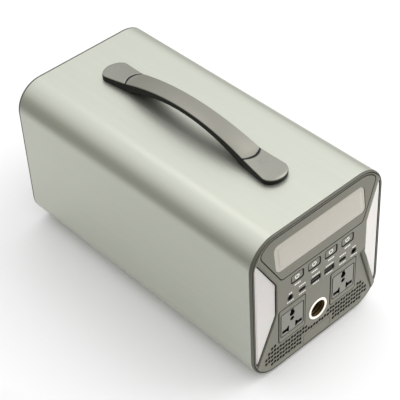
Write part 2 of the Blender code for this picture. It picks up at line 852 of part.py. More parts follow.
def make_grille(dark):
    """A finger guard: a disc with level slots between its bars."""
    disc = prism(circle((0, FAN_Z), GRILLE_RADIUS, 32), rear(4.5), rear(1.5))
    grille = add("fan_grille", disc, dark)
    slots = bmesh.new()
    pitch = 8
    for row in range(-4, 5):
        z = row * pitch
        half = math.sqrt((GRILLE_RADIUS - 3) ** 2 - (abs(z) + SLOT / 2) ** 2)
        for side in (-1, 1):
            centre = (side * (half + MULLION / 2) / 2, FAN_Z + z)
            outline = rounded_rectangle(centre, (half - MULLION / 2, SLOT), 0.5, 1)
            prism(outline, rear(10), rear(-10), slots)
    boolean(grille, cutter("grille_slots", slots))


def make_inlet(plastic):
    """Mains charging inlet: a blind mouth with three flat pins."""
    centre = (INLET_X, INLET_Z)
    outline = rounded_rectangle(centre, INLET_SIZE, INLET_CORNER)
    inlet = add("ac_inlet", prism(outline, rear(20), rear(1.2)), plastic)
    mouth = rounded_rectangle(centre, INLET_MOUTH, INLET_CORNER)
    hole = cutter("inlet_mouth", prism(mouth, rear(16), rear(-10)))
    pins = bmesh.new()
    for x, z in ((-7, -1.5), (0, 2.5), (7, -1.5)):
        pin = rounded_rectangle((INLET_X + x, INLET_Z + z), (2, 4), 0.3, 1)
        prism(pin, rear(18), rear(3), pins)
    boolean(hole, cutter("inlet_pins", pins))
    boolean(inlet, hole)


def make_fan(plastic):
    back = rear(REAR_SUNK + REAR_THICK + GAP)
    front = back + FAN_DEPTH
    square = rounded_rectangle((0, FAN_Z), (FAN_SIZE, FAN_SIZE), 4, 2)
    frame = add("fan_frame", prism(square, front, back), plastic)
    bore = prism(circle((0, FAN_Z), FAN_BORE, 32), front + 5, back - 5)
    hole = cutter("fan_bore", bore)
    reach = 2 * (FAN_BORE + 5)
    for name, size in (("level", (reach, 5)), ("upright", (5, reach))):
        spoke = prism(rounded_rectangle((0, FAN_Z), size, 0.5, 1), front + 6, front - 3)
        boolean(hole, cutter(f"fan_spoke_{name}", spoke))
    boolean(frame, hole)
    make_rotor(plastic, front - 3 - 2, back + 2)


def make_rotor(plastic, front, back):
    """A hub with pitched blades: an extruded outline whose rear face is turned on."""
    twist = math.radians(22)
    step = 2 * math.pi / FAN_BLADES
    tip = FAN_BORE - 1.5
    blade = ((FAN_HUB, 0), (tip, 0.06), (tip, 0.22), (FAN_HUB, 0.14), (FAN_HUB, 0.45),
             (FAN_HUB, 0.75))
    outlines = []
    for turn in (0, twist):
        outline = []
        for number in range(FAN_BLADES):
            for radius, angle in blade:
                total = number * step + turn + angle
                outline.append((radius * math.cos(total), FAN_Z + radius * math.sin(total)))
        outlines.append(outline)
    rings = [[(x, proud(distance), up(z)) for x, z in outline]
             for outline, distance in zip(outlines, (front, back))]
    mesh = loop_solid(rings, closed=False)
    add("fan_rotor", mesh, plastic, (0, proud((front + back) / 2), up(FAN_Z)))


# ---- inside --------------------------------------------------------------------

def make_battery(cell_blue, plastic, alloy, board):
    width = CELL_COUNT * CELL[0] + (CELL_COUNT - 1) * CELL_GAP
    low_z = up(TRAY_Z + 2.5)
    high_z = low_z + CELL[2]
    start = behind(CELL_START)
    end = start + CELL[1]
    for number in range(CELL_COUNT):
        x = -width / 2 + number * (CELL[0] + CELL_GAP)
        cell = box((x, start, low_z), (x + CELL[0], end, high_z))
        add(f"battery_cell_{number + 1}", cell, cell_blue)
    for side, label in ((-1, "left"), (1, "right")):
        x = sorted((side * (width / 2 + CELL_GAP), side * (width / 2 + CELL_GAP + 3)))
        add(f"cell_end_plate_{label}", box((x[0], start, low_z), (x[1], end, high_z)), alloy)
    add("chassis_tray", box((-72, behind(50), up(TRAY_Z)), (72, behind(330), up(TRAY_Z + 2))), alloy)
    cover = box((-width / 2, start + 5, high_z + CELL_GAP), (width / 2, end - 5, high_z + 7))
    add("busbar_cover", cover, plastic)
    bms = box((-70, end + 3, up(20)), (70, end + 3 + BOARD_THICK, up(125)))
    add("bms_board", bms, board)
    return high_z + 7


def make_electronics(base, board, alloy, copper):
    low = base + 4
    inverter = box((-82, behind(50), low), (82, behind(300), low + BOARD_THICK))
    add("inverter_board", inverter, board)
    top = low + BOARD_THICK + GAP
    add("transformer", box((15, behind(90), top), (65, behind(140), top + 36)), copper)
    make_heatsink(top, alloy)


def make_heatsink(low, alloy):
    """An extruded base with a row of upright fins."""
    inner_x = -15
    outer_x = -75
    base = low + 4
    high = low + 34
    pitch = (inner_x - outer_x) / FIN_COUNT
    outline = [(outer_x, low), (inner_x, low)]
    for fin in range(FIN_COUNT):
        right = inner_x - fin * pitch
        left = right - pitch * 0.4
        outline += [(right, high), (left, high)]
        if fin < FIN_COUNT - 1:
            outline += [(left, base), (right - pitch, base)]
    outline[-1] = (outer_x, high)
    rings = [[(x, behind(distance), z) for x, z in outline] for distance in (80, 260)]
    add("heatsink", loop_solid(rings, closed=False), alloy)


def main():
    for thing in list(bpy.data.objects):
        bpy.data.objects.remove(thing, do_unlink=True)
    anodised = material("anodised", (0.60, 0.61, 0.56), 0.38, 0.55)
    panel_grey = material("panel_grey", (0.22, 0.21, 0.18), 0.5)
    trim_grey = material("trim_grey", (0.07, 0.07, 0.055), 0.5)
    window = material("window", (0.60, 0.57, 0.50), 0.15)
    diffuser = material("diffuser", (0.80, 0.77, 0.75), 0.45)
    cream = material("cream", (0.90, 0.86, 0.78), 0.35)
    black = material("black_plastic", (0.012, 0.012, 0.010), 0.5)
    skin = material("handle_skin", (0.30, 0.29, 0.25), 0.35, 0.4)
    rubber = material("rubber", (0.02, 0.02, 0.02), 0.8)
    steel = material("steel", (0.55, 0.55, 0.54), 0.3, 1.0)
    alloy = material("plain_aluminium", (0.62, 0.63, 0.64), 0.35, 1.0)
    copper = material("copper", (0.60, 0.28, 0.12), 0.35, 0.9)
    board = material("circuit_board", (0.02, 0.16, 0.06), 0.5)
    cell_blue = material("cell_wrap", (0.03, 0.09, 0.35), 0.4)

    make_case(anodised, rubber)
    make_front_panel(panel_grey, trim_grey)
    make_display(panel_grey, window, black)
    make_lights(diffuser, board)
    make_buttons(panel_grey, board)
    make_ports(steel, black, board)
    make_sockets(panel_grey, steel, cream)
    make_handle(black, skin, steel)
    make_rear(panel_grey, trim_grey, steel, black)
    make_fan(black)
    base = make_battery(cell_blue, black, alloy, board)
    make_electronics(base, board, alloy, copper)


main()
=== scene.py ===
"""Looks of a portable power station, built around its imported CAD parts.

Meshes are made in millimetres, in the frame's own axes, and become metres when a mesh
turns into an object. X runs across the front, Y from front to rear, Z up. On the front,
"proud" is how far a point stands forward of the sleeve's front edge. Heights are counted
from the underside of the sleeve.
"""

import json
from math import atan2, copysign, cos, hypot, radians, sin, sqrt, tan

import bmesh
import bpy
from mathutils import Matrix, Vector


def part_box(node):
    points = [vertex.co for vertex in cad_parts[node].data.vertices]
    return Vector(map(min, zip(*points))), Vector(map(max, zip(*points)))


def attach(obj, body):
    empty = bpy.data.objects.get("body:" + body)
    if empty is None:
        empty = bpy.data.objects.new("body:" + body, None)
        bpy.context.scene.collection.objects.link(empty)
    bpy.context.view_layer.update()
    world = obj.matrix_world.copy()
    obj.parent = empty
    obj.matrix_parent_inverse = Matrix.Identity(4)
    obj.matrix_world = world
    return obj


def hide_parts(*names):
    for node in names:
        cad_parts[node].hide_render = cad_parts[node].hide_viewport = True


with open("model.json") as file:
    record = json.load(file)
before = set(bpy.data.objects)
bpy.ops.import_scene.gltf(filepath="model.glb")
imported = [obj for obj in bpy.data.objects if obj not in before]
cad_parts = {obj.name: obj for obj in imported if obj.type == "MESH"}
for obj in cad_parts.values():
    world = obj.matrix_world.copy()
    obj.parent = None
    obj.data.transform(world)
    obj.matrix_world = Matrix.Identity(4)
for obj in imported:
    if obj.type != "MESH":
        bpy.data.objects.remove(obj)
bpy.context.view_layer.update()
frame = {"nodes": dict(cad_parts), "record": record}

MM = 0.001
GAP = 0.3
CLEAR = 20  # a proud distance in front of everything
DEEP = -60  # a proud distance behind the whole front panel
BELOW = -30  # a height under everything
SHARP_ANGLE = 32  # in degrees, where shading breaks


def node_box(name):
    low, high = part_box(name)
    return low / MM, high / MM


SLEEVE_LOW, SLEEVE_HIGH = node_box("case_sleeve")
Y_FRONT = SLEEVE_LOW.y
BASE_Z = SLEEVE_LOW.z
WIDTH = SLEEVE_HIGH.x - SLEEVE_LOW.x
HEIGHT = SLEEVE_HIGH.z - SLEEVE_LOW.z
SLEEVE_LENGTH = SLEEVE_HIGH.y - SLEEVE_LOW.y
DEPTH = node_box("rear_trim_ring")[1].y - Y_FRONT
WAIST = Y_FRONT - node_box("front_panel")[0].y


def middle(name):
    """Middle of a CAD node as (x, height)."""
    low, high = node_box(name)
    return (low.x + high.x) / 2, (low.z + high.z) / 2 - BASE_Z


# Sleeve and rims
CORNER = 35
CORNER_STEPS = 20
WALL = 2.5
LIP = 1.8
LIP_PROUD = Y_FRONT - node_box("front_trim_ring")[0].y
LIP_STEP = 1.6  # how proud the ledge inside the front rim is
ROLL_PROUD = 1.5  # where the front rim starts to round

# Front panel facets
DISPLAY_TOP_PROUD = 3.0
DISPLAY_TOP_Z = 196.5
DISPLAY_SLOPE = 0.12
SIDE_SLOPE = 0.24
SIDE_X = 68.1
CREST_SLOPE = 0.072
CREST_Z = 92
CREST_RUN = 0.361
PANEL_INSET = 3.0
SKIRT_INSET = 3.5
SKIRT_PROUD = 1.9
SKIRT_BACK = -8
SEAL_PROUD = 2.4
SHELL = 2.5
OVERSIZE = 1  # how far the panel's block reaches past the case before it is trimmed

# Folds of the front panel, by how wide each is rounded
HEAD_FOLD = 4.0  # between the waist's underside and the bay's floor
BROW_FOLD = 0.8  # between the waist and its underside
WALL_FOLD = 0.6  # round the bay's walls
PLAIN_FOLD = 0.22
FLATTEST_FOLD = 4  # in degrees; what turns less is left alone
STEEP = 0.3  # part of a face's normal that makes it a side, a wall or a head

# Recessed lower bay
BAY_TOP_Z = 86
BAY_TOP_X = 65.5
BAY_TOP_PROUD = 4.0
BAY_FOOT_RUN = 0.32
BAY_FLOOR_SLOPE = 0.009
BAY_WALL_SLOPE = 0.95
BAY_HEAD_SLOPE = 2.0
BAY_SEAM = 1.9
BAY_SEAM_FOOT = 14
BADGE_SIZE = (43, 16.5)  # the plain field between the vents
BADGE_Z = 11.3
BADGE_SEAM = 0.6  # its groove, as wide as it is deep

# Display
DISPLAY_FOOT = (62.1, 138.8)
DISPLAY_SHOULDER = (88, 184.8)
DISPLAY_CORNER = 30.6
DISPLAY_THICK = 1.3
WINDOW_CORNER = 7
SEAM = 0.9  # the dark seam round an inset piece
SEAL = SEAM - 0.05  # the width of the gasket in it

# Side lights
LIGHT_PROUD = 2.85
LIGHT_X = 94.9
LIGHT_SLOPE = 0.185
LIGHT_THICK = 1.4
LIGHT_INSET = 4.1
LIGHT_NECK = 68.5
LIGHT_NECK_LOW = 91.5
LIGHT_NECK_HIGH = 136.5

# Buttons, ports and labels
BUTTON_MOAT = 1.15  # the width of the dark moat round each button
BUTTON_HOLE_CORNER = 3.0
MARK_RADII = (2.0, 3.3)
MARK_SPAN = (125, 415)  # where the ring of the on/off sign starts and ends, in degrees
LABEL_PITCH = 2.4
LABEL_RISE = 6.6  # from a port's middle to the label above it
LABEL_DROP = 5.2
BROKEN_EDGE = 0.3  # chamfer of an opening in the panel
DC_RADIUS = 3.9
USB_C_HOLE = (10.6, 4.4)
USB_A_HOLE = (15.8, 7.8)

# Vents: rows of (height, nearest x, furthest x) on each side of the middle
VENT_PITCH = 4.4
VENT_STAGGER = 0.5
VENT_SIZE = (3.8, 4.5)
VENT_CORNER = 1.1
VENT_ROWS = ((12.3, 25, 74), (18.5, 25, 79), (24.7, 0, 79), (30.9, 17, 75), (37.1, 65, 71))
VENT_SKIN = 0.4

# Sockets
PLATE_SIZE = (33, 32.6)
PLATE_Z = 60.8
PLATE_THICK = 0.5
PLATE_SEAM = 1.4
PIN_Z = 50
PIN_BACK = -14
FACE_PROUD = 0.4  # how far a mains socket's face stands out of the bay
CAR_HOLE = 12.7  # radii of the 12 V socket
CAR_BARREL = 12.0
CAR_BORE = 10.5
CAR_RING_DEEP = 0.9
CAR_RIB = 3.6

# Rear
GRILLE_PITCH = 8
GRILLE_SLOT = 5
GRILLE_BAR = 1.5  # half the width of the upright bar
INLET_MOUTH = (24.5, 17)
SCREW_HOLE = 1.9
SCREW_HEAD = 3.2
CROSS_WIDTH = 0.8

# Handle
HANDLE_LOW, HANDLE_HIGH = node_box("handle_core")
HANDLE_Y = (HANDLE_LOW.y + HANDLE_HIGH.y) / 2
HANDLE_HALF = (HANDLE_HIGH.y - HANDLE_LOW.y) / 2
HANDLE_SEAM = 95
HANDLE_TIP = 13
HANDLE_TOP = node_box("handle_grip_cover")[1].z - BASE_Z - HEIGHT
HANDLE_HOLLOW = 19.5
GRIP_HALF = 11.5  # half widths in the middle, at the seams and at the caps
SEAM_HALF = 13.5
CAP_HALF = 17.5
CAP_HIGH = 11
CAP_LOW = 6
SKIN = 1.1
SKIN_INSET = 0.45
SEAM_GAP = 1.25
SEAM_BULGE = 6.5
GRIP_CROWN = 0.7
CAP_CROWN = 0.9
SKIN_ROLL = 0.5

# Room, lights (place, size, watts) and camera; EYE and LOOK_AT count from the sleeve's front foot
SKY = ((0.0, 0.25), (0.2, 0.45), (0.44, 0.71), (0.62, 0.84), (0.75, 0.96), (0.86, 0.94), (1.0, 0.66))
SKY_TOP = (0.26, 0, 0.965)
SKY_STRENGTH = 1.4
LIGHTS = {"key": ((1000, -500, 1500), 1400, 9.5), "side_fill": ((560, -780, 280), 500, 0.9),
          "top_key": ((340, 680, 1500), 500, 0.8)}
AIM = (0, 0, 100)
LENS = 117.58
EYE = (-731.83, -669.72, 1096.43)
LOOK_AT = (7.1, 191.0, 79.9)
ROLL = -3.41


# ---- places ----

def extent(node):
    """A CAD node's middle, its size, and how proud its front and its back are."""
    low, high = node_box(node)
    return middle(node), (high.x - low.x, high.z - low.z), Y_FRONT - low.y, Y_FRONT - high.y


def grown(size, amount):
    return size[0] + 2 * amount, size[1] + 2 * amount


def at(x, distance, height):
    return Vector((x, Y_FRONT - distance, BASE_Z + height))


def display_proud(x, z):
    return DISPLAY_TOP_PROUD + (DISPLAY_TOP_Z - z) * DISPLAY_SLOPE


def light_proud(x, z):
    return LIGHT_PROUD + (LIGHT_X - abs(x)) * LIGHT_SLOPE


def bay_proud(x, z):
    return BAY_TOP_PROUD - (BAY_TOP_Z - z) * BAY_FLOOR_SLOPE


def shifted(surface, amount):
    """The same surface, further forward by an amount."""
    if not callable(surface):
        return lambda x, z: surface + amount
    return lambda x, z: surface(x, z) + amount


# ---- outlines, as lists of (x, height) ----

def arc(centre_x, centre_z, radius, start, end, steps):
    points = []
    for step in range(steps + 1):
        angle = radians(start + (end - start) * step / steps)
        points.append((centre_x + radius * cos(angle), centre_z + radius * sin(angle)))
    return points


def circle(centre, radius, steps=48):
    return arc(*centre, radius, 0, 360 - 360 / steps, steps - 1)


def rounded_box(centre, size, radius, steps=6):
    half_x = size[0] / 2 - radius
    half_z = size[1] / 2 - radius
    points = []
    for quarter, (sx, sz) in enumerate(((1, 1), (-1, 1), (-1, -1), (1, -1))):
        corner = (centre[0] + sx * half_x, centre[1] + sz * half_z)
        points += arc(*corner, radius, quarter * 90, quarter * 90 + 90, steps)
    return points


def sleeve_outline(inset):
    size = (WIDTH - 2 * inset, HEIGHT - 2 * inset)
    return rounded_box((0, HEIGHT / 2), size, CORNER - inset, CORNER_STEPS)


def fillet(before, corner, after, radius, steps=6):
    """Points of an arc that rounds a corner between two straight runs."""
    corner = Vector(corner)
    first = (Vector(before) - corner).normalized()
    second = (Vector(after) - corner).normalized()
    half = first.angle(second) / 2
    centre = corner + (first + second).normalized() * radius / sin(half)
    start = corner + first * radius / tan(half) - centre
    end = corner + second * radius / tan(half) - centre
    turn = start.angle_signed(end)
    points = []
    for step in range(steps + 1):
        angle = atan2(start.y, start.x) - turn * step / steps
        points.append((centre.x + radius * cos(angle), centre.y + radius * sin(angle)))
    return points


def mirrored(points):
    return [(-x, z) for x, z in reversed(points)]


def shrink(outline, amount):
    """Move each side of an anticlockwise outline inwards."""
    result = []
    for i, point in enumerate(outline):
        before = Vector(outline[i - 1])
        here = Vector(point)
        after = Vector(outline[(i + 1) % len(outline)])
        first = (here - before).normalized()
        second = (after - here).normalized()
        normal = Vector((-first.y - second.y, first.x + second.x))
        result.append(tuple(here + normal * (2 * amount / normal.length_squared)))
    return result


def display_outline():
    """A wide hexagon whose upper corners follow the sleeve's."""
    top = arc(WIDTH / 2 - CORNER, HEIGHT - CORNER, DISPLAY_CORNER, 52, 90, 10)
    right = fillet((0, DISPLAY_FOOT[1]), DISPLAY_FOOT, DISPLAY_SHOULDER, 6)
    right += fillet(DISPLAY_FOOT, DISPLAY_SHOULDER, top[0], 7) + top
    return right + mirrored(right)


def light_outline(side):
    """A side light: straight inside edges, and an outer edge that follows the sleeve."""
    radius = CORNER - LIGHT_INSET
    reach = WIDTH / 2 - CORNER
    low_tip = (92.7, 24.5)
    high_tip = (92, 178)
    low_neck = (LIGHT_NECK, LIGHT_NECK_LOW)
    high_neck = (LIGHT_NECK, LIGHT_NECK_HIGH)
    foot = arc(reach, CORNER, radius, -8, 0, 3)
    head = arc(reach, HEIGHT - CORNER, radius, 0, 15, 6)
    points = fillet(low_neck, low_tip, foot[0], 1.0)
    points += foot + head
    points += fillet(head[-1], high_tip, high_neck, 1.5)
    points += fillet(high_tip, high_neck, low_neck, 3)
    points += fillet(high_neck, low_neck, low_tip, 3)
    return points if side > 0 else mirrored(points)


# ---- meshes ----

def skin(rings, closed=False, mesh=None):
    """Join rings of points into a tube; closed joins the last ring to the first."""
    mesh = mesh or bmesh.new()
    loops = [[mesh.verts.new(point) for point in ring] for ring in rings]
    pairs = list(zip(loops, loops[1:]))
    if closed:
        pairs.append((loops[-1], loops[0]))
    else:
        mesh.faces.new(loops[0])
        mesh.faces.new(list(reversed(loops[-1])))
    for first, second in pairs:
        for i in range(len(first)):
            j = (i + 1) % len(first)
            mesh.faces.new((first[i], first[j], second[j], second[i]))
    return mesh


def layers(sections, mesh=None):
    """A closed body from (outline, surface) pairs, front to back."""
    rings = []
    for outline, surface in sections:
        surface = shifted(surface, 0)
        rings.append([at(x, surface(x, z), z) for x, z in outline])
    return skin(rings, mesh=mesh)


def prism(outline, front, back, mesh=None):
    return layers(((outline, front), (outline, back)), mesh)


def plate(outline, front, back, edge):
    """A plate whose front rim is rounded."""
    return layers((
        (shrink(outline, edge), front),
        (shrink(outline, edge * 0.3), shifted(front, -edge * 0.3)),
        (outline, shifted(front, -edge)),
        (outline, back),
    ))


def flare(outline, face, chamfer, back, mesh=None):
    """A cutter that breaks the edge of the opening that it makes."""
    return layers((
        (shrink(outline, -chamfer - 1), shifted(face, 1)),
        (shrink(outline, -chamfer * 0.3), shifted(face, -chamfer * 0.3)),
        (outline, shifted(face, -chamfer)),
        (outline, back),
    ), mesh)


def lathe(profile, centre, steps=48):
    """Turn (radius, proud distance) about an axis along Y; radius 0 closes an end."""
    mesh = bmesh.new()
    loops = []
    for radius, distance in profile:
        if radius == 0:
            loops.append([mesh.verts.new(at(centre[0], distance, centre[1]))])
        else:
            ring = circle(centre, radius, steps)
            loops.append([mesh.verts.new(at(x, distance, z)) for x, z in ring])
    pairs = list(zip(loops, loops[1:]))
    if len(loops[0]) > 1:
        pairs.append((loops[-1], loops[0]))
    for first, second in pairs:
        for i in range(steps):
            j = (i + 1) % steps
            corners = [first[i % len(first)], first[j % len(first)]]
            corners += [second[j % len(second)], second[i % len(second)]]
            mesh.faces.new(list(dict.fromkeys(corners)))
    return mesh


def rim(sections):
    """A closed rim round the sleeve from (inset, proud distance) pairs."""
    rings = []
    for inset, distance in sections:
        rings.append([at(x, distance, z) for x, z in sleeve_outline(inset)])
    return skin(rings, closed=True)


def slice_front(mesh, point, normal):
    """Cut away what lies on the normal's side of a plane and close the cut."""
    geometry = mesh.verts[:] + mesh.edges[:] + mesh.faces[:]
    cut = bmesh.ops.bisect_plane(mesh, geom=geometry, plane_co=point, plane_no=normal,
                                 clear_outer=True, dist=1e-5)
    edges = [item for item in cut["geom_cut"] if isinstance(item, bmesh.types.BMEdge)]
    bmesh.ops.contextual_create(mesh, geom=edges)


# ---- objects ----

def solid(name, mesh):
    """Turn a millimetre mesh into a plain object in metres."""
    bmesh.ops.recalc_face_normals(mesh, faces=mesh.faces)
    bmesh.ops.scale(mesh, vec=(MM, MM, MM), verts=mesh.verts)
    data = bpy.data.meshes.new(name)
    mesh.to_mesh(data)
    mesh.free()
    thing = bpy.data.objects.new(name, data)
    bpy.context.scene.collection.objects.link(thing)
    return thing


def settle(thing):
    """Apply an object's modifiers to its mesh."""
    graph = bpy.context.evaluated_depsgraph_get()
    data = bpy.data.meshes.new_from_object(thing.evaluated_get(graph))
    old = thing.data
    thing.modifiers.clear()
    thing.data = data
    bpy.data.meshes.remove(old)


def as_object(shape):
    return solid("work", shape) if isinstance(shape, bmesh.types.BMesh) else shape


def carve(shape, *tools, operation="DIFFERENCE"):
    """Cut tools out of a shape and drop the tools; all are meshes or objects."""
    thing = as_object(shape)
    for tool in map(as_object, tools):
        modifier = thing.modifiers.new("cut", "BOOLEAN")
        modifier.operation = operation
        modifier.solver = "EXACT"
        modifier.object = tool
        settle(thing)
        bpy.data.objects.remove(tool, do_unlink=True)
    return thing


def piece(name, shape, look, slot=None, body="case", replaces=()):
    """A finished piece, from a mesh or an object; slot is not used."""
    slot = slot or look
    shape = as_object(shape)
    shape.name = name
    shape.data.materials.clear()
    shape.data.materials.append(LOOKS[look])
    shape.data.shade_smooth()
    shape.data.set_sharp_from_angle(angle=radians(SHARP_ANGLE))
    even = shape.modifiers.new("even_normals", "WEIGHTED_NORMAL")
    even.keep_sharp = True
    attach(shape, body)
    if replaces:
        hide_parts(*replaces)


def gasket(name, outline, width, surface):
    """A black seal that fills the seam round an inset piece."""
    body = prism(outline, shifted(surface, -0.12), shifted(surface, -1.2))
    piece(name, carve(body, prism(shrink(outline, width), CLEAR, DEEP)), "black_plastic")


# ---- materials ----

class Graph:
    """A short way to add nodes to a material."""

    def __init__(self, name):
        self.material = bpy.data.materials.new(name)
        self.material.use_nodes = True
        self.tree = self.material.node_tree
        self.shader = self.tree.nodes["Principled BSDF"]

    def feed(self, socket, value):
        if isinstance(value, bpy.types.NodeSocket):
            self.tree.links.new(value, socket)
        else:
            socket.default_value = value

    def fill(self, node, inputs):
        """Feed a node's inputs; an underscore in a name stands for a space."""
        for name, value in inputs.items():
            self.feed(node.inputs[name.replace("_", " ")], value)
        return node

    def add(self, kind, **inputs):
        return self.fill(self.tree.nodes.new(kind), inputs)

    def shade(self, **inputs):
        self.fill(self.shader, inputs)

    def place(self, scale):
        """Object coordinates in metres, scaled per axis."""
        coordinates = self.add("ShaderNodeTexCoord")
        mapping = self.add("ShaderNodeMapping", Vector=coordinates.outputs["Object"], Scale=scale)
        return mapping.outputs["Vector"]

    def noise(self, scale, detail):
        """Noise between 0 and 1 with a feature size set per axis by scale."""
        node = self.add("ShaderNodeTexNoise", Vector=self.place(scale), Scale=1.0, Detail=detail,
                        Roughness=0.6)
        return node.outputs["Fac"]

    def spread(self, value, low, high, start=0.3, end=0.7):
        node = self.add("ShaderNodeMapRange", Value=value, From_Min=start, From_Max=end,
                        To_Min=low, To_Max=high)
        return node.outputs["Result"]

    def blend(self, factor, first, second):
        """Mix two colours; a mix node's colour sockets are inputs 6 and 7 and output 2."""
        node = self.add("ShaderNodeMix", Factor=factor)
        node.data_type = "RGBA"
        self.feed(node.inputs[6], first)
        self.feed(node.inputs[7], second)
        return node.outputs[2]

    def bump(self, height, strength, distance):
        node = self.add("ShaderNodeBump", Height=height, Strength=strength, Distance=distance)
        self.shade(Normal=node.outputs["Normal"])


def scaled(colour, factor):
    """A colour made lighter or darker, with the alpha that sockets want."""
    return (*(min(1.0, channel * factor) for channel in colour), 1)


def finish(name, colour, roughness, metallic=0.0, grain=0.6, stretch=(1, 1, 1), depth=0.03,
           tint=0.05, polish=0.05, patch=25):
    """A surface with fine grain and a slow drift of tone and gloss.

    grain is the size of the fine texture and patch that of the drift, in millimetres.
    """
    graph = Graph(name)
    fine = graph.noise([1 / (grain * MM * s) for s in stretch], 3.0)
    slow = graph.noise([1 / (patch * MM * s) for s in stretch], 2.0)
    dark = scaled(colour, 1 - tint)
    light = scaled(colour, 1 + tint)
    tone, speck = (graph.blend(graph.spread(noise, 0, 1), dark, light) for noise in (slow, fine))
    gloss = graph.spread(slow, roughness - polish, roughness + polish)
    graph.shade(Base_Color=graph.blend(0.5, tone, speck), Roughness=gloss, Metallic=metallic)
    graph.bump(fine, 0.5, depth * MM)
    return graph


def circuit_board(name):
    """Solder mask over a maze of copper tracks, with small pads."""
    graph = Graph(name)
    lines = graph.add("ShaderNodeTexBrick", Vector=graph.place((90, 90, 90)), Scale=1.0,
                      Mortar_Size=0.06, Brick_Width=0.9, Row_Height=0.22)
    pads = graph.add("ShaderNodeTexVoronoi", Vector=graph.place((260, 260, 260)), Scale=1.0)
    mask = graph.blend(lines.outputs["Fac"], (0.012, 0.13, 0.045, 1), (0.03, 0.24, 0.08, 1))
    dots = graph.spread(pads.outputs["Distance"], 1, 0, 0.16, 0.2)
    colour = graph.blend(dots, mask, (0.62, 0.55, 0.36, 1))
    graph.shade(Base_Color=colour, Roughness=graph.spread(dots, 0.42, 0.28, 0, 1))
    graph.bump(lines.outputs["Fac"], 0.4, 0.05 * MM)
    return graph


def windings(name):
    """Enamelled copper wire in tight turns."""
    graph = Graph(name)
    wave = graph.add("ShaderNodeTexWave", Vector=graph.place((1, 1, 1)), Scale=260.0, Distortion=0.6)
    wave.bands_direction = "Z"
    turns = wave.outputs["Fac"]
    graph.shade(Base_Color=graph.blend(turns, (0.22, 0.07, 0.025, 1), (0.62, 0.27, 0.11, 1)),
                Roughness=graph.spread(turns, 0.5, 0.3, 0, 1), Metallic=0.8)
    graph.bump(turns, 0.8, 0.4 * MM)
    return graph


FINISHES = {
    "anodised": dict(colour=(0.522, 0.54, 0.47), roughness=0.4, metallic=0.92, grain=0.8,
                     stretch=(1, 60, 1), depth=0.006, tint=0.04, polish=0.03, patch=9),
    "panel_grey": dict(colour=(0.203, 0.197, 0.157), roughness=0.44, grain=0.5, depth=0.05),
    "trim_grey": dict(colour=(0.10, 0.098, 0.074), roughness=0.36, grain=0.5, depth=0.03),
    "window": dict(colour=(0.53, 0.50, 0.43), roughness=0.16, grain=2, depth=0.002, tint=0.025),
    "diffuser": dict(colour=(0.80, 0.765, 0.74), roughness=0.38, grain=1.2, depth=0.02, tint=0.02),
    "cream": dict(colour=(0.98, 0.94, 0.84), roughness=0.2, grain=1.0, depth=0.01, tint=0.02),
    "socket_grey": dict(colour=(0.25, 0.245, 0.215), roughness=0.4, grain=0.5, depth=0.04),
    "bronze": dict(colour=(0.16, 0.11, 0.045), roughness=0.32, metallic=0.85, grain=0.6,
                   stretch=(1, 8, 1), depth=0.03, tint=0.15),
    "gunmetal": dict(colour=(0.045, 0.045, 0.041), roughness=0.4, metallic=0.5, grain=0.3, depth=0.01,
                     tint=0.1),
    "black_plastic": dict(colour=(0.006, 0.006, 0.005), roughness=0.5, grain=0.5, depth=0.04, tint=0.15),
    "handle_skin": dict(colour=(0.255, 0.25, 0.215), roughness=0.34, metallic=0.8, grain=0.4, depth=0.02),
    "cap_skin": dict(colour=(0.275, 0.275, 0.24), roughness=0.28, metallic=0.85, grain=0.4,
                     depth=0.003, tint=0.03),
    "rubber": dict(colour=(0.022, 0.022, 0.021), roughness=0.8, grain=0.7, depth=0.08, tint=0.2),
    "steel": dict(colour=(0.56, 0.56, 0.55), roughness=0.28, metallic=1.0, grain=0.3,
                  stretch=(1, 1, 12), depth=0.01, tint=0.06),
    "plain_aluminium": dict(colour=(0.62, 0.63, 0.64), roughness=0.38, metallic=1.0, grain=0.4,
                            stretch=(1, 30, 1), depth=0.02),
    "cell_wrap": dict(colour=(0.03, 0.09, 0.35), roughness=0.35, grain=3, depth=0.05, tint=0.12),
    "print": dict(colour=(0.96, 0.95, 0.91), roughness=0.5, grain=0.4, depth=0.01, tint=0.03),
}
EXTRAS = {
    "black_plastic": dict(Specular_IOR_Level=0.2),
    "diffuser": dict(Subsurface_Weight=0.25, Subsurface_Scale=0.002),
    # cream glows faintly: painted light that brightens the car socket's ring, which is no lamp.
    "cream": dict(Emission_Color=(1.0, 0.95, 0.84, 1), Emission_Strength=0.26),
    "window": dict(Coat_Weight=0.5, Coat_Roughness=0.06),
}


def make_looks():
    """All materials by name."""
    graphs = {name: finish(name, **values) for name, values in FINISHES.items()}
    graphs["circuit_board"] = circuit_board("circuit_board")
    graphs["copper"] = windings("copper")
    for name, values in EXTRAS.items():
        graphs[name].shade(**values)
    return {name: graph.material for name, graph in graphs.items()}


LOOKS = make_looks()


# ---- sleeve and rims ----

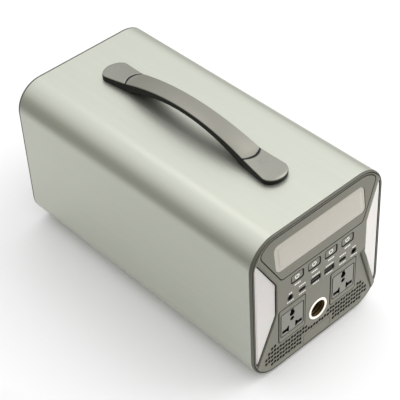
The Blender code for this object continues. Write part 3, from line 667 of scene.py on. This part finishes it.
def make_sleeve():
    last = -SLEEVE_LENGTH
    edge = 0.35
    sections = ((edge, 0), (0, -edge), (0, last + edge), (edge, last), (WALL, last), (WALL, 0))
    piece("sleeve", rim(sections), "anodised", replaces=("case_sleeve",))
    roll = LIP_PROUD - ROLL_PROUD
    sections = [(0.4, GAP), (0.4, 0.65), (0, 0.85)] + arc(roll, ROLL_PROUD, roll, 165, 90, 5)
    sections += [(LIP - 0.05, LIP_PROUD), (LIP, LIP_PROUD - 0.1), (LIP, LIP_STEP), (WALL, LIP_STEP),
                 (WALL, GAP)]
    piece("front_rim", rim(sections), "trim_grey", replaces=("front_trim_ring",))
    inner = LIP + 0.05
    outer = PANEL_INSET - 0.05
    seal = rim(((inner, SEAL_PROUD), (outer, SEAL_PROUD), (outer, SKIRT_PROUD), (inner, SKIRT_PROUD)))
    piece("panel_seal", seal, "black_plastic")
    front = -SLEEVE_LENGTH - GAP
    back = -DEPTH
    sections = ((0.15, front), (0, front - 0.15), (0, back + 0.8), (0.25, back + 0.25), (0.8, back),
                (WALL, back), (WALL, front))
    piece("rear_rim", rim(sections), "trim_grey", replaces=("rear_trim_ring",))
    for end in ("front", "rear"):
        for side in ("left", "right"):
            make_foot(f"foot_{end}_{side}")


def make_foot(node):
    """A rubber foot with a rounded rim and a shallow ring in its sole."""
    low, high = node_box(node)
    radius = (high.x - low.x) / 2
    centre = ((low.x + high.x) / 2, (low.y + high.y) / 2)
    top = high.z
    profile = ((radius, top), (radius, 0.9), (radius - 0.25, 0.3), (radius - 0.9, 0.0),
               (radius - 3.2, 0.0), (radius - 3.6, 0.5), (radius - 5.0, 0.5), (radius - 5.4, 0.0))
    rings = [[(x, y, z) for x, y in circle(centre, r, 40)] for r, z in profile]
    piece(node + "_pad", skin(rings), "rubber", replaces=(node,))


# ---- front panel ----

def front_block(name, inset, back, thin):
    """A block with the front panel's facets, each set back by thin."""
    mesh = prism(sleeve_outline(inset), CLEAR - 4, back)
    slice_front(mesh, at(0, WAIST - thin, 0), (0, -1, 0))
    slice_front(mesh, at(0, DISPLAY_TOP_PROUD - thin, DISPLAY_TOP_Z), (0, -1, DISPLAY_SLOPE))
    slice_front(mesh, at(0, WAIST - thin, CREST_Z), (0, -1, -CREST_SLOPE))
    block = solid(name, mesh)
    carve(block, bay_cutter(thin), side_cutter(-1, thin), side_cutter(1, thin))
    return block


def bay_cutter(thin):
    """The recess that the sockets and vents sit in, with sloping walls."""
    head = BAY_TOP_Z + thin * hypot(1, BAY_HEAD_SLOPE)
    foot = BAY_TOP_X + thin * hypot(1, BAY_WALL_SLOPE)
    mesh = bmesh.new()
    for side in (-1, 1):
        for z in (head, BELOW):
            x = foot + (head - z) * BAY_FOOT_RUN
            mesh.verts.new(at(side * x, bay_proud(0, z) - thin, z))
        rise = (CLEAR - bay_proud(0, head)) * BAY_HEAD_SLOPE
        for z in (head + rise, BELOW):
            floor = bay_proud(0, z) - thin
            x = foot + (head - z) * BAY_FOOT_RUN + (CLEAR - floor) * BAY_WALL_SLOPE
            mesh.verts.new(at(side * x, CLEAR, z))
    bmesh.ops.convex_hull(mesh, input=mesh.verts)
    return mesh


def side_cutter(side, thin):
    """Cuts the facet outside the waist, down to the crest beside the bay."""
    inner = SIDE_X - thin * 0.2
    above = HEIGHT + 60
    outline = [(inner, CREST_Z), (inner + (CREST_Z - BELOW) * CREST_RUN, BELOW), (WIDTH, BELOW),
               (WIDTH, above), (inner, above)]
    if side < 0:
        outline = mirrored(outline)

    def facet(x, z):
        return WAIST - thin - (abs(x) - SIDE_X) * SIDE_SLOPE

    return prism(outline, CLEAR + 4, facet)


def soften(block):
    """Round the folds of the panel's outer form, each by its own amount."""
    mesh = bmesh.new()
    mesh.from_mesh(block.data)
    bmesh.ops.remove_doubles(mesh, verts=mesh.verts, dist=2e-6)
    bmesh.ops.dissolve_limit(mesh, angle_limit=radians(0.4), verts=mesh.verts, edges=mesh.edges)
    layer = mesh.edges.layers.float.new("bevel_weight_edge")
    for edge in mesh.edges:
        if len(edge.link_faces) == 2:
            edge[layer] = fold_width(edge) / HEAD_FOLD
    mesh.to_mesh(block.data)
    mesh.free()
    bevel = block.modifiers.new("folds", "BEVEL")
    bevel.limit_method = "WEIGHT"
    bevel.offset_type = "OFFSET"
    bevel.width = HEAD_FOLD * MM
    bevel.segments = 4
    bevel.use_clamp_overlap = False
    settle(block)


def fold_width(edge):
    """How wide the fold between two faces is rounded, in millimetres."""
    kinds = {face_kind(face) for face in edge.link_faces}
    if "side" in kinds or edge.calc_face_angle() < radians(FLATTEST_FOLD):
        return 0
    if kinds == {"head", "flat"}:
        return BROW_FOLD
    if kinds == {"head", "floor"}:
        return HEAD_FOLD
    if "wall" in kinds and ("floor" in kinds or "head" in kinds):
        return WALL_FOLD
    return PLAIN_FOLD


def face_kind(face):
    """Names a face of the panel by which way it looks and how deep it lies."""
    normal = face.normal
    centre = face.calc_center_median() / MM
    height = centre.z - BASE_Z
    if normal.y > -STEEP:
        return "side"
    if abs(normal.x) > STEEP and height < BAY_TOP_Z + 30:
        return "wall"
    if normal.z < -STEEP:
        return "head"
    low_lying = Y_FRONT - centre.y < BAY_TOP_PROUD + 0.5
    if abs(normal.x) < 0.05 and low_lying and height < BAY_TOP_Z:
        return "floor"
    return "flat"


def vent_cutter():
    """Five staggered rows of small rounded vents across the foot of the bay."""
    mesh = bmesh.new()
    for height, nearest, furthest in VENT_ROWS:
        reach = int(WIDTH / 2 / VENT_PITCH)
        for step in range(-reach, reach + 1):
            x = step * VENT_PITCH
            if nearest - 0.5 <= abs(x) <= furthest + 0.5:
                lift = VENT_STAGGER if step % 2 else -VENT_STAGGER
                hole = rounded_box((x, height + lift), VENT_SIZE, VENT_CORNER, 2)
                prism(hole, CLEAR, DEEP, mesh)
    return mesh


def bay_seams():
    """A groove along the foot of each side wall of the bay."""
    mesh = bmesh.new()
    ends = []
    for z in (BAY_TOP_Z + 1, BAY_SEAM_FOOT):
        ends.append((BAY_TOP_X + (BAY_TOP_Z - z) * BAY_FOOT_RUN, z))
    outline = ends + [(x + BAY_SEAM, z) for x, z in reversed(ends)]
    for strip in (outline, mirrored(outline)):
        prism(strip, CLEAR, shifted(bay_proud, -1), mesh)
    return mesh


def vent_area():
    """The outline of the vented part of the bay."""
    right = [(76, 8.5), (83, 16), (83, 28), (75.5, 42), (62.5, 42), (62.5, 34.7)]
    return right + mirrored(right)


def panel_openings():
    """Everything that shows through the front panel, each with a broken edge."""
    mesh = bmesh.new()
    for side in ("left", "right"):
        for hole in (circle(middle(f"dc_jack_{side}"), DC_RADIUS + GAP, 32),
                     rounded_box(middle(f"usb_c_port_{side}"), USB_C_HOLE, 2.1),
                     rounded_box(middle(f"usb_a_port_{side}"), USB_A_HOLE, 0.9)):
            flare(hole, WAIST, BROKEN_EDGE, DEEP, mesh)
        centre, size, _, _ = extent(f"ac_socket_{side}")
        flare(rounded_box(centre, grown(size, GAP), 3.3), bay_proud, 0.35, DEEP, mesh)
    for number in range(1, 5):
        centre, size, _, _ = extent(f"output_button_{number}")
        hole = rounded_box(centre, grown(size, BUTTON_MOAT), BUTTON_HOLE_CORNER)
        flare(hole, WAIST, BROKEN_EDGE, DEEP, mesh)
    prism(circle(middle("car_socket"), CAR_HOLE), CLEAR, DEEP, mesh)
    return mesh


def panel_pockets():
    """Pockets for the display frame and the side lights, and the windows behind them."""
    mesh = bmesh.new()
    seat = DISPLAY_THICK + GAP
    flare(shrink(display_outline(), -GAP), display_proud, 0.25, shifted(display_proud, -seat), mesh)
    for side in (-1, 1):
        outline = shrink(light_outline(side), -GAP)
        prism(outline, CLEAR, shifted(light_proud, -LIGHT_THICK - GAP), mesh)
    through = bmesh.new()
    prism(shrink(display_outline(), 4), CLEAR, DEEP, through)
    for side in (-1, 1):
        corners = [(LIGHT_NECK, LIGHT_NECK_LOW), (LIGHT_X, 25), (LIGHT_X, 179),
                   (LIGHT_NECK, LIGHT_NECK_HIGH)]
        if side < 0:
            corners = mirrored(corners)
        prism(shrink(corners, 3), CLEAR, DEEP, through)
    return mesh, through


def panel_border():
    """The panel's outer edge, with a skirt that slips into the front rim."""
    sections = ((PANEL_INSET, CLEAR), (PANEL_INSET, SKIRT_PROUD), (SKIRT_INSET, SKIRT_PROUD),
                (SKIRT_INSET, SKIRT_BACK))
    return layers([(sleeve_outline(inset), distance) for inset, distance in sections])


def make_panel():
    block = front_block("panel", -OVERSIZE, SKIRT_BACK - 2, 0)
    soften(block)
    carve(block, panel_border(), operation="INTERSECT")
    hollow = front_block("hollow", SKIRT_INSET + SHELL, DEEP, SHELL)
    relief = prism(vent_area(), shifted(bay_proud, -VENT_SKIN), DEEP)
    carve(block, hollow, *panel_pockets(), panel_openings(), relief, vent_cutter())
    badge = rounded_box((0, BADGE_Z), BADGE_SIZE, 1.5)
    moat = prism(badge, CLEAR, shifted(bay_proud, -BADGE_SEAM))
    moat = carve(moat, prism(shrink(badge, BADGE_SEAM), CLEAR + 1, DEEP))
    carve(block, moat, bay_seams())
    piece("front_fascia", block, "panel_grey", replaces=("front_panel",))
    # A black sheet close behind the thin vent skin, seen through the holes: painted shade that stands in
    # for the dark depth of the vents.
    shade_sheet_front = shifted(bay_proud, -VENT_SKIN - GAP)
    shade_sheet = prism(shrink(vent_area(), 0.4), shade_sheet_front, shifted(bay_proud, -1.8))
    piece("vent_shade_sheet", shade_sheet, "black_plastic")


# ---- display and side lights ----

def window_outline(inset):
    centre, size, _, _ = extent("display_window")
    return rounded_box(centre, grown(size, -inset), max(WINDOW_CORNER - GAP - inset, 1), 8)


def make_display():
    outline = shrink(display_outline(), SEAM)
    back = shifted(display_proud, -DISPLAY_THICK)
    edge = 0.35
    opening = flare(window_outline(-GAP), display_proud, edge, -10)
    bezel = carve(plate(outline, display_proud, back, edge), opening)
    piece("display_bezel", bezel, "panel_grey", replaces=("display_frame",))
    gasket("display_gasket", display_outline(), SEAL, display_proud)
    profile = ((7.0, 0.2), (6.2, 0.25), (5.0, 0.7), (4.4, 0.75), (0.4, 0.75), (0.1, 0.82), (0, 0.9),
               (0, 1.25))
    sections = [(window_outline(inset), shifted(display_proud, -drop)) for inset, drop in profile]
    piece("display_lens", layers(sections), "window", replaces=("display_window",))


def make_lights():
    for side, label in ((-1, "left"), (1, "right")):
        outline = light_outline(side)
        gasket(f"light_gasket_{label}", outline, SEAL, light_proud)
        lens = plate(shrink(outline, SEAM), light_proud, shifted(light_proud, -LIGHT_THICK), 0.45)
        piece(f"light_lens_{label}", lens, "diffuser", replaces=(f"light_diffuser_{label}",))


# ---- buttons and ports ----

def make_buttons():
    for number in range(1, 5):
        node = f"output_button_{number}"
        centre, size, face, back = extent(node)

        def ring(inset, drop):
            corner = max(2.1 - inset * 0.6, 0.8)
            return rounded_box(centre, grown(size, -inset), corner), face - drop

        profile = ((2.6, 0.22), (1.8, 0.08), (1.2, 0), (0.8, 0.03), (0.45, 0.2), (0.2, 0.6), (0, 1.2))
        sections = [ring(inset, drop) for inset, drop in profile] + [ring(0, face - back)]
        body = f"button_{number}"
        piece(f"button_cap_{number}", layers(sections), "panel_grey", body=body, replaces=(node,))
        make_power_mark(number, centre, face - profile[0][1], body)
        moat = rounded_box(centre, grown(size, BUTTON_MOAT - 0.05), BUTTON_HOLE_CORNER)
        gasket(f"button_gasket_{number}", moat, 0.75, WAIST)
        make_label(f"button_label_{number}", (centre[0], centre[1] - 10.0), (9.5, 2.0), WAIST)


def make_power_mark(number, centre, face, body):
    """The common on/off sign: a broken ring with a short stroke."""
    mesh = bmesh.new()
    start, end = MARK_SPAN
    inner, outer = MARK_RADII
    ring = arc(*centre, outer, start, end, 24) + arc(*centre, inner, end, start, 24)
    stroke = rounded_box((centre[0], centre[1] + inner), (1.2, 3.0), 0.5, 2)
    for outline in (ring, stroke):
        prism(outline, face + 0.12, face - 0.05, mesh)
    piece(f"button_mark_{number}", mesh, "print", "cream", body)


def make_label(name, centre, size, surface):
    """A row of plain printed marks where a label would be."""
    mesh = bmesh.new()
    count = round(size[0] / LABEL_PITCH)
    step = size[0] / count
    for i in range(count):
        place = (centre[0] + (i - (count - 1) / 2) * step, centre[1])
        outline = rounded_box(place, (step - 0.5, size[1]), 0.4, 2)
        prism(outline, shifted(surface, 0.06), shifted(surface, -0.05), mesh)
    piece(name, mesh, "print", "cream")


def make_ports():
    for side in ("left", "right"):
        make_dc_jack(side)
        opening = rounded_box(middle(f"usb_c_port_{side}"), grown(USB_C_HOLE, -0.05), 2.0)
        gasket(f"usb_c_gasket_{side}", opening, 0.5, WAIST)
        make_usb(f"usb_c_port_{side}", 1.6, (6.6, 0.8), 0.0, "black_plastic")
        make_usb(f"usb_a_port_{side}", 0.6, (12.0, 2.4), -1.2, "gunmetal")
        for node, above, below in (("dc_jack", 5.5, 10.5), ("usb_c_port", 10.5, 10.5),
                                   ("usb_a_port", 12.0, 10.0)):
            x, z = middle(f"{node}_{side}")
            make_label(f"{node}_{side}_label_above", (x, z + LABEL_RISE), (above, 1.7), WAIST)
            make_label(f"{node}_{side}_label_below", (x, z - LABEL_DROP), (below, 1.5), WAIST)


def make_dc_jack(side):
    node = f"dc_jack_{side}"
    centre, _, face, back = extent(node)
    shell = [(0, face - 10), (2.8, face - 10), (2.8, face - 0.4), (3.0, face - 0.1), (3.2, face),
             (3.6, face), (DC_RADIUS, face - 0.3), (DC_RADIUS, back), (0, back)]
    piece(f"{node}_barrel", lathe(shell, centre), "black_plastic", replaces=(node,))
    pin = [(0, face - 2), (0.7, face - 2.2), (1.0, face - 2.7), (1.0, face - 9.9), (0, face - 9.9)]
    piece(f"{node}_pin", lathe(pin, centre, 24), "steel")


def make_usb(node, corner, tongue_size, rise, tongue_look):
    """A drawn metal shell with a rolled mouth, and the moulded tongue inside it."""
    centre, size, face, back = extent(node)
    shell = plate(rounded_box(centre, size, corner), face, back, 0.15)
    mouth = rounded_box(centre, grown(size, -0.4), corner * 0.7)
    shell = carve(shell, flare(mouth, face, 0.15, back + 3))
    piece(f"{node}_shell", shell, "gunmetal", "steel", replaces=(node,))
    blade = rounded_box((centre[0], centre[1] + rise), tongue_size, 0.3, 3)
    tongue = plate(blade, face - 0.8, back + 3.05, 0.2)
    piece(f"{node}_tongue", tongue, tongue_look, "black_plastic")


# ---- sockets ----

def socket_face(x, z):
    return bay_proud(x, z) + FACE_PROUD


def socket_holes(x):
    """The keyhole, the round hole and the two stepped slots of a universal socket."""
    mesh = bmesh.new()
    z = PIN_Z + 20.3
    keyhole = arc(x, z, 3.8, -232, 52, 20) + [(x + 2.3, z + 6.4), (x - 2.3, z + 6.4)]
    corners = [(4.8, -4.5), (7.7, -3.3), (7.7, -2.4), (15.2, -2.4), (15.2, 2.4), (8.3, 2.4), (6.7, 4.9),
               (4.8, 4.9)]
    right = [(x + a, PIN_Z + b) for a, b in corners]
    left = [(x - a, PIN_Z + b) for a, b in reversed(corners)]
    for outline in (keyhole, circle((x, PIN_Z + 12.4), 3.0, 28), right, left):
        flare(outline, socket_face, 0.15, PIN_BACK, mesh)
    return mesh


def make_ac_sockets():
    """Each socket: a frame, a thin face plate set into it and the black insulator behind."""
    for side in ("left", "right"):
        node = f"ac_socket_{side}"
        centre, size, _, back = extent(node)
        x = centre[0]
        rim_outline = rounded_box(centre, size, 3)
        gasket(f"{node}_gasket", rim_outline, SEAL, socket_face)
        outline = rounded_box((x, PLATE_Z), PLATE_SIZE, 1.4)
        seat = shrink(outline, -PLATE_SEAM)
        surround = plate(shrink(rim_outline, SEAM), socket_face, back, 0.3)
        surround = carve(surround, flare(seat, socket_face, 0.2, back + 2))
        piece(f"{node}_surround", surround, "panel_grey", replaces=(node,))
        seat_back = shifted(socket_face, -PLATE_THICK)
        insulator = prism(shrink(seat, 0.01), shifted(seat_back, -0.05), back + 2.1)
        piece(f"{node}_insulator", carve(insulator, socket_holes(x)), "black_plastic")
        cover = carve(plate(outline, socket_face, seat_back, 0.2), socket_holes(x))
        piece(f"{node}_face", cover, "socket_grey", "panel_grey")


def make_car_socket():
    """A cream ring, brightened by a painted glow, round a ribbed bronze bore."""
    centre, size, front, back = extent("car_socket")
    radius = size[0] / 2
    bore = CAR_BORE
    seat = front - CAR_RING_DEEP
    ring = [(bore + 0.5, seat), (bore + 0.6, front - 0.4), (bore + 1.0, front - 0.05),
            (bore + 1.4, front), (radius - 0.9, front), (radius - 0.3, front - 0.25),
            (radius, front - 0.7), (radius, seat)]
    piece("car_socket_ring", lathe(ring, centre, 72), "cream")
    depth = seat - 0.05
    barrel = [(0, back), (CAR_BARREL, back), (CAR_BARREL, depth), (bore + 0.3, depth),
              (bore, depth - 0.3)]
    while depth > back + 8:
        barrel += [(bore, depth - 2.2), (bore - 0.25, depth - 2.5), (bore - 0.25, depth - 3.3),
                   (bore, depth - CAR_RIB)]
        depth -= CAR_RIB
    barrel += [(bore, back + 2), (0, back + 2)]
    piece("car_socket_barrel", lathe(barrel, centre, 72), "bronze", "steel", replaces=("car_socket",))


# ---- handle ----

def handle_width(t):
    """Half width at a distance t from the handle's middle."""
    t = abs(t)
    straight = HANDLE_HALF - HANDLE_TIP
    if t <= HANDLE_SEAM:
        return GRIP_HALF + (SEAM_HALF - GRIP_HALF) * (t / HANDLE_SEAM) ** 2
    if t <= straight:
        return SEAM_HALF + (CAP_HALF - SEAM_HALF) * (t - HANDLE_SEAM) / (straight - HANDLE_SEAM)
    return CAP_HALF * sqrt(max(0.0, 1 - ((t - straight) / HANDLE_TIP) ** 2))


def handle_top(t):
    t = abs(t)
    if t <= HANDLE_SEAM:
        return HANDLE_TOP - (HANDLE_TOP - CAP_HIGH) * (t / HANDLE_SEAM) ** 2
    along = min(1.0, (t - HANDLE_SEAM) / (HANDLE_HALF - HANDLE_SEAM))
    return CAP_LOW + (CAP_HIGH - CAP_LOW) * (1 - along) ** 1.3


def handle_bottom(t):
    reach = HANDLE_SEAM - 2
    return GAP + HANDLE_HOLLOW * max(0.0, 1 - (t / reach) ** 2)


def seam_shift(t, across):
    """How far a seam's middle bulges towards the nearer tip; 0 away from the seams."""
    fade = max(0.0, 1 - abs(abs(t) - HANDLE_SEAM) / 18)
    return copysign(SEAM_BULGE * fade * (1 - across * across), t)


def top_section(half, low, high, roll, crown):
    """Half-round shoulders over straight flanks, and a slightly crowned top."""
    inner = half - roll
    points = [(-half, low), (half, low)] + arc(inner, high - roll, roll, 0, 90, 5)
    for step in range(1, 8):
        x = inner * (1 - step / 4)
        points.append((x, high + crown * (1 - (x / inner) ** 2)))
    return points + arc(-inner, high - roll, roll, 90, 180, 5)


def handle_run(stations, low, high, roll, crown, trim=0.0, bulge=True):
    rings = []
    for t in stations:
        half = max(handle_width(t) - trim, 1.0)
        ring = []
        thick = high(t) - low(t)
        shoulder = min(roll, thick * 0.8, half * 0.6)
        rise = crown * min(1.0, half / 12)
        for x, z in top_section(half, low(t), high(t), shoulder, rise):
            shift = seam_shift(t, x / half) if bulge else 0.0
            drop = high(t + shift) - high(t)
            ring.append((x, HANDLE_Y + t + shift, BASE_Z + HEIGHT + z + drop))
        rings.append(ring)
    return skin(rings)


def spaced(start, end, steps):
    return [start + (end - start) * i / steps for i in range(steps + 1)]


def tip_stations(start):
    straight = HANDLE_HALF - HANDLE_TIP
    turn = [straight + HANDLE_TIP * sin(radians(a)) for a in range(6, 90, 6)]
    return spaced(start, straight, 16) + turn + [HANDLE_HALF - 0.02]


def make_handle():
    """A black arch whose top carries a grey skin in three pieces."""
    def below_top(drop):
        return lambda t: handle_top(t) - drop

    core_top = below_top(SKIN + 0.1)
    skin_foot = below_top(SKIN)
    seam_top = below_top(0.05)
    tip = tip_stations(HANDLE_SEAM)
    along = [-t for t in reversed(tip)] + spaced(-HANDLE_SEAM, HANDLE_SEAM, 48)[1:-1] + tip
    core = handle_run(along, handle_bottom, core_top, 0.6, 0.0, 0.05, bulge=False)
    piece("handle_bar", core, "black_plastic", replaces=("handle_core",))
    grip = spaced(SEAM_GAP - HANDLE_SEAM, HANDLE_SEAM - SEAM_GAP, 64)
    cover = handle_run(grip, skin_foot, handle_top, SKIN_ROLL, GRIP_CROWN, SKIN_INSET)
    piece("handle_grip_skin", cover, "handle_skin", replaces=("handle_grip_cover",))
    for side, label in ((-1, "front"), (1, "rear")):
        reach = SEAM_GAP - 0.05
        edges = sorted(side * t for t in spaced(HANDLE_SEAM - reach, HANDLE_SEAM + reach, 4))
        strip = handle_run(edges, skin_foot, seam_top, SKIN_ROLL, CAP_CROWN, SKIN_INSET)
        piece(f"handle_{label}_seam", strip, "black_plastic")
        stations = sorted(side * t for t in tip_stations(HANDLE_SEAM + SEAM_GAP))
        cap = handle_run(stations, skin_foot, handle_top, SKIN_ROLL, CAP_CROWN, SKIN_INSET)
        piece(f"handle_{label}_cap_skin", cap, "cap_skin", "handle_skin",
              replaces=(f"handle_cap_{label}",))


# ---- rear ----

def make_rear():
    _, _, front, back = extent("rear_panel")
    fan, fan_size, _, _ = extent("fan_grille")
    inlet, inlet_size, _, _ = extent("ac_inlet")
    holes = [circle(fan, fan_size[0] / 2 + GAP, 96), rounded_box(inlet, grown(inlet_size, GAP), 3)]
    holes += [circle(middle(f"rear_screw_{number}"), SCREW_HOLE, 24) for number in range(1, 5)]
    tools = bmesh.new()
    for hole in holes:
        prism(hole, front + 5, back - 5, tools)
    panel = carve(prism(sleeve_outline(2.9), front, back), tools)
    piece("rear_plate", panel, "panel_grey", replaces=("rear_panel",))
    make_grille()
    make_inlet()
    for number in range(1, 5):
        make_rear_screw(number)


def make_grille():
    """A finger guard: a flat disc with level slots between rounded bars."""
    centre, size, front, back = extent("fan_grille")
    radius = size[0] / 2
    profile = [(0, front), (radius, front), (radius, back + 0.6), (radius - 0.6, back), (0, back)]
    slots = bmesh.new()
    edge = 0.5
    for row in range(-4, 5):
        z = row * GRILLE_PITCH
        half = sqrt((radius - 3) ** 2 - (abs(z) + GRILLE_SLOT / 2) ** 2)
        for side in (-1, 1):
            place = (centre[0] + side * (half + GRILLE_BAR) / 2, centre[1] + z)
            outline = rounded_box(place, (half - GRILLE_BAR, GRILLE_SLOT), 1.2, 4)
            layers(((outline, front + 1), (outline, back + edge),
                    (shrink(outline, -edge - 1), back - 1)), slots)
    guard = carve(lathe(profile, centre, 96), slots)
    piece("grille_guard", guard, "trim_grey", replaces=("fan_grille",))


def make_inlet():
    """The mains inlet: a deep mouth with three flat pins."""
    centre, size, front, back = extent("ac_inlet")
    outline = rounded_box(centre, size, 3)
    edge = 0.5
    body = layers(((outline, front), (outline, back + edge), (shrink(outline, edge), back)))
    mouth = rounded_box(centre, INLET_MOUTH, 3)
    hole = layers(((mouth, front - 4), (mouth, back + 0.3), (shrink(mouth, -1.3), back - 1)))
    piece("inlet_body", carve(body, hole), "black_plastic", replaces=("ac_inlet",))
    pins = bmesh.new()
    for x, z in ((-7, -1.5), (0, 2.5), (7, -1.5)):
        blade = rounded_box((centre[0] + x, centre[1] + z), (2, 4), 0.4, 3)
        layers(((blade, front - 3.9), (blade, back + 2.3), (shrink(blade, 0.3), back + 2)), pins)
    piece("inlet_pins", pins, "steel")


def make_rear_screw(number):
    """A pan head with a cross recess."""
    node = f"rear_screw_{number}"
    centre, _, tip, back = extent(node)
    seat = back + 1.4
    head = [(0, tip), (1.2, tip), (1.5, tip - 0.4), (1.5, seat), (SCREW_HEAD, seat),
            (SCREW_HEAD, seat - 0.4), (2.9, back + 0.4), (2.2, back + 0.1), (0, back)]
    arms = [rounded_box(centre, arm, 0.1, 1)
            for arm in ((SCREW_HEAD, CROSS_WIDTH), (CROSS_WIDTH, SCREW_HEAD))]
    screw = carve(lathe(head, centre, 36), *(prism(arm, back + 1.1, back - 2) for arm in arms))
    piece(f"{node}_head", screw, "steel", replaces=(node,))


# ---- parts that stay as they are, stage and light ----

def dress_frame():
    """Give every CAD node that is still shown the finish of its material slot."""
    for part in frame["record"]["subparts"]:
        thing = frame["nodes"][part["node"]]
        if thing.hide_render:
            continue
        thing.data.materials.clear()
        thing.data.materials.append(LOOKS[part["material_slot"]])


def make_stage():
    """A matt floor, pale round the case and falling off to grey outside the picture: a painted pool of
    light.
    """
    mesh = bmesh.new()
    bmesh.ops.create_grid(mesh, x_segments=24, y_segments=24, size=6000)
    floor = solid("floor", mesh)
    floor.location.z = -0.0002
    graph = Graph("floor")
    distance = graph.add("ShaderNodeVectorMath", Vector=graph.place((1, 1, 1)))
    distance.operation = "DISTANCE"
    distance.inputs[1].default_value = (0.15, 0.15, 0)
    # Painted pool of light: the floor's colour turns grey with distance from the case.
    far = graph.spread(distance.outputs["Value"], 0, 1, 0.46, 0.85)
    tone = graph.blend(graph.noise((3, 3, 3), 2.0), (0.87, 0.87, 0.87, 1), (0.89, 0.89, 0.89, 1))
    graph.shade(Base_Color=graph.blend(far, tone, (0.25, 0.25, 0.24, 1)), Roughness=0.9,
                Specular_IOR_Level=0.1)
    floor.data.materials.append(graph.material)


def area_light(name, place, size, watts):
    """A square light that looks at the middle of the case."""
    data = bpy.data.lights.new(name, "AREA")
    data.size = size * MM
    data.energy = watts
    light = bpy.data.objects.new(name, data)
    light.location = Vector(place) * MM
    aim = (Vector(AIM) - Vector(place)).normalized()
    light.rotation_euler = aim.to_track_quat("-Z", "Y").to_euler()
    bpy.context.scene.collection.objects.link(light)


def make_world():
    """A soft room: bright overhead and a little to the right, darker towards the horizon."""
    world = bpy.data.worlds.new("room")
    bpy.context.scene.world = world
    world.use_nodes = True
    tree = world.node_tree
    coordinates = tree.nodes.new("ShaderNodeTexCoord")
    height = tree.nodes.new("ShaderNodeVectorMath")
    height.operation = "DOT_PRODUCT"
    height.inputs[1].default_value = SKY_TOP
    tree.links.new(coordinates.outputs["Generated"], height.inputs[0])
    ramp = tree.nodes.new("ShaderNodeValToRGB")
    tree.links.new(height.outputs["Value"], ramp.inputs["Fac"])
    points = ramp.color_ramp.elements
    while len(points) < len(SKY):
        points.new(0.5)
    for point, (position, level) in zip(points, SKY):
        point.position = position
        point.color = (level, level, level * (0.88 + 0.15 * level), 1)
    background = tree.nodes["Background"]
    tree.links.new(ramp.outputs["Color"], background.inputs["Color"])
    background.inputs["Strength"].default_value = SKY_STRENGTH


def make_camera():
    """The photograph's view: above the front left corner, looking down along the case."""
    data = bpy.data.cameras.new("view")
    data.lens = LENS
    data.sensor_width = 36
    data.clip_end = 50
    camera = bpy.data.objects.new("view", data)
    foot = Vector((0, Y_FRONT, BASE_Z))
    place = (foot + Vector(EYE)) * MM
    target = (foot + Vector(LOOK_AT)) * MM
    forward = (target - place).normalized()
    level = forward.cross(Vector((0, 0, 1))).normalized()
    upward = level.cross(forward)
    roll = radians(ROLL)
    right = cos(roll) * level + sin(roll) * upward
    above = -sin(roll) * level + cos(roll) * upward
    turn = Matrix((right, above, -forward)).transposed()
    camera.matrix_world = Matrix.Translation(place) @ turn.to_4x4()
    bpy.context.scene.collection.objects.link(camera)
    bpy.context.scene.camera = camera


def build():
    make_sleeve()
    make_panel()
    make_display()
    make_lights()
    make_buttons()
    make_ports()
    make_ac_sockets()
    make_car_socket()
    make_handle()
    make_rear()
    dress_frame()
    make_stage()
    make_world()
    for name, (place, size, watts) in LIGHTS.items():
        area_light(name, place, size, watts)
    make_camera()
    bpy.context.scene.view_settings.view_transform = "Standard"


build()
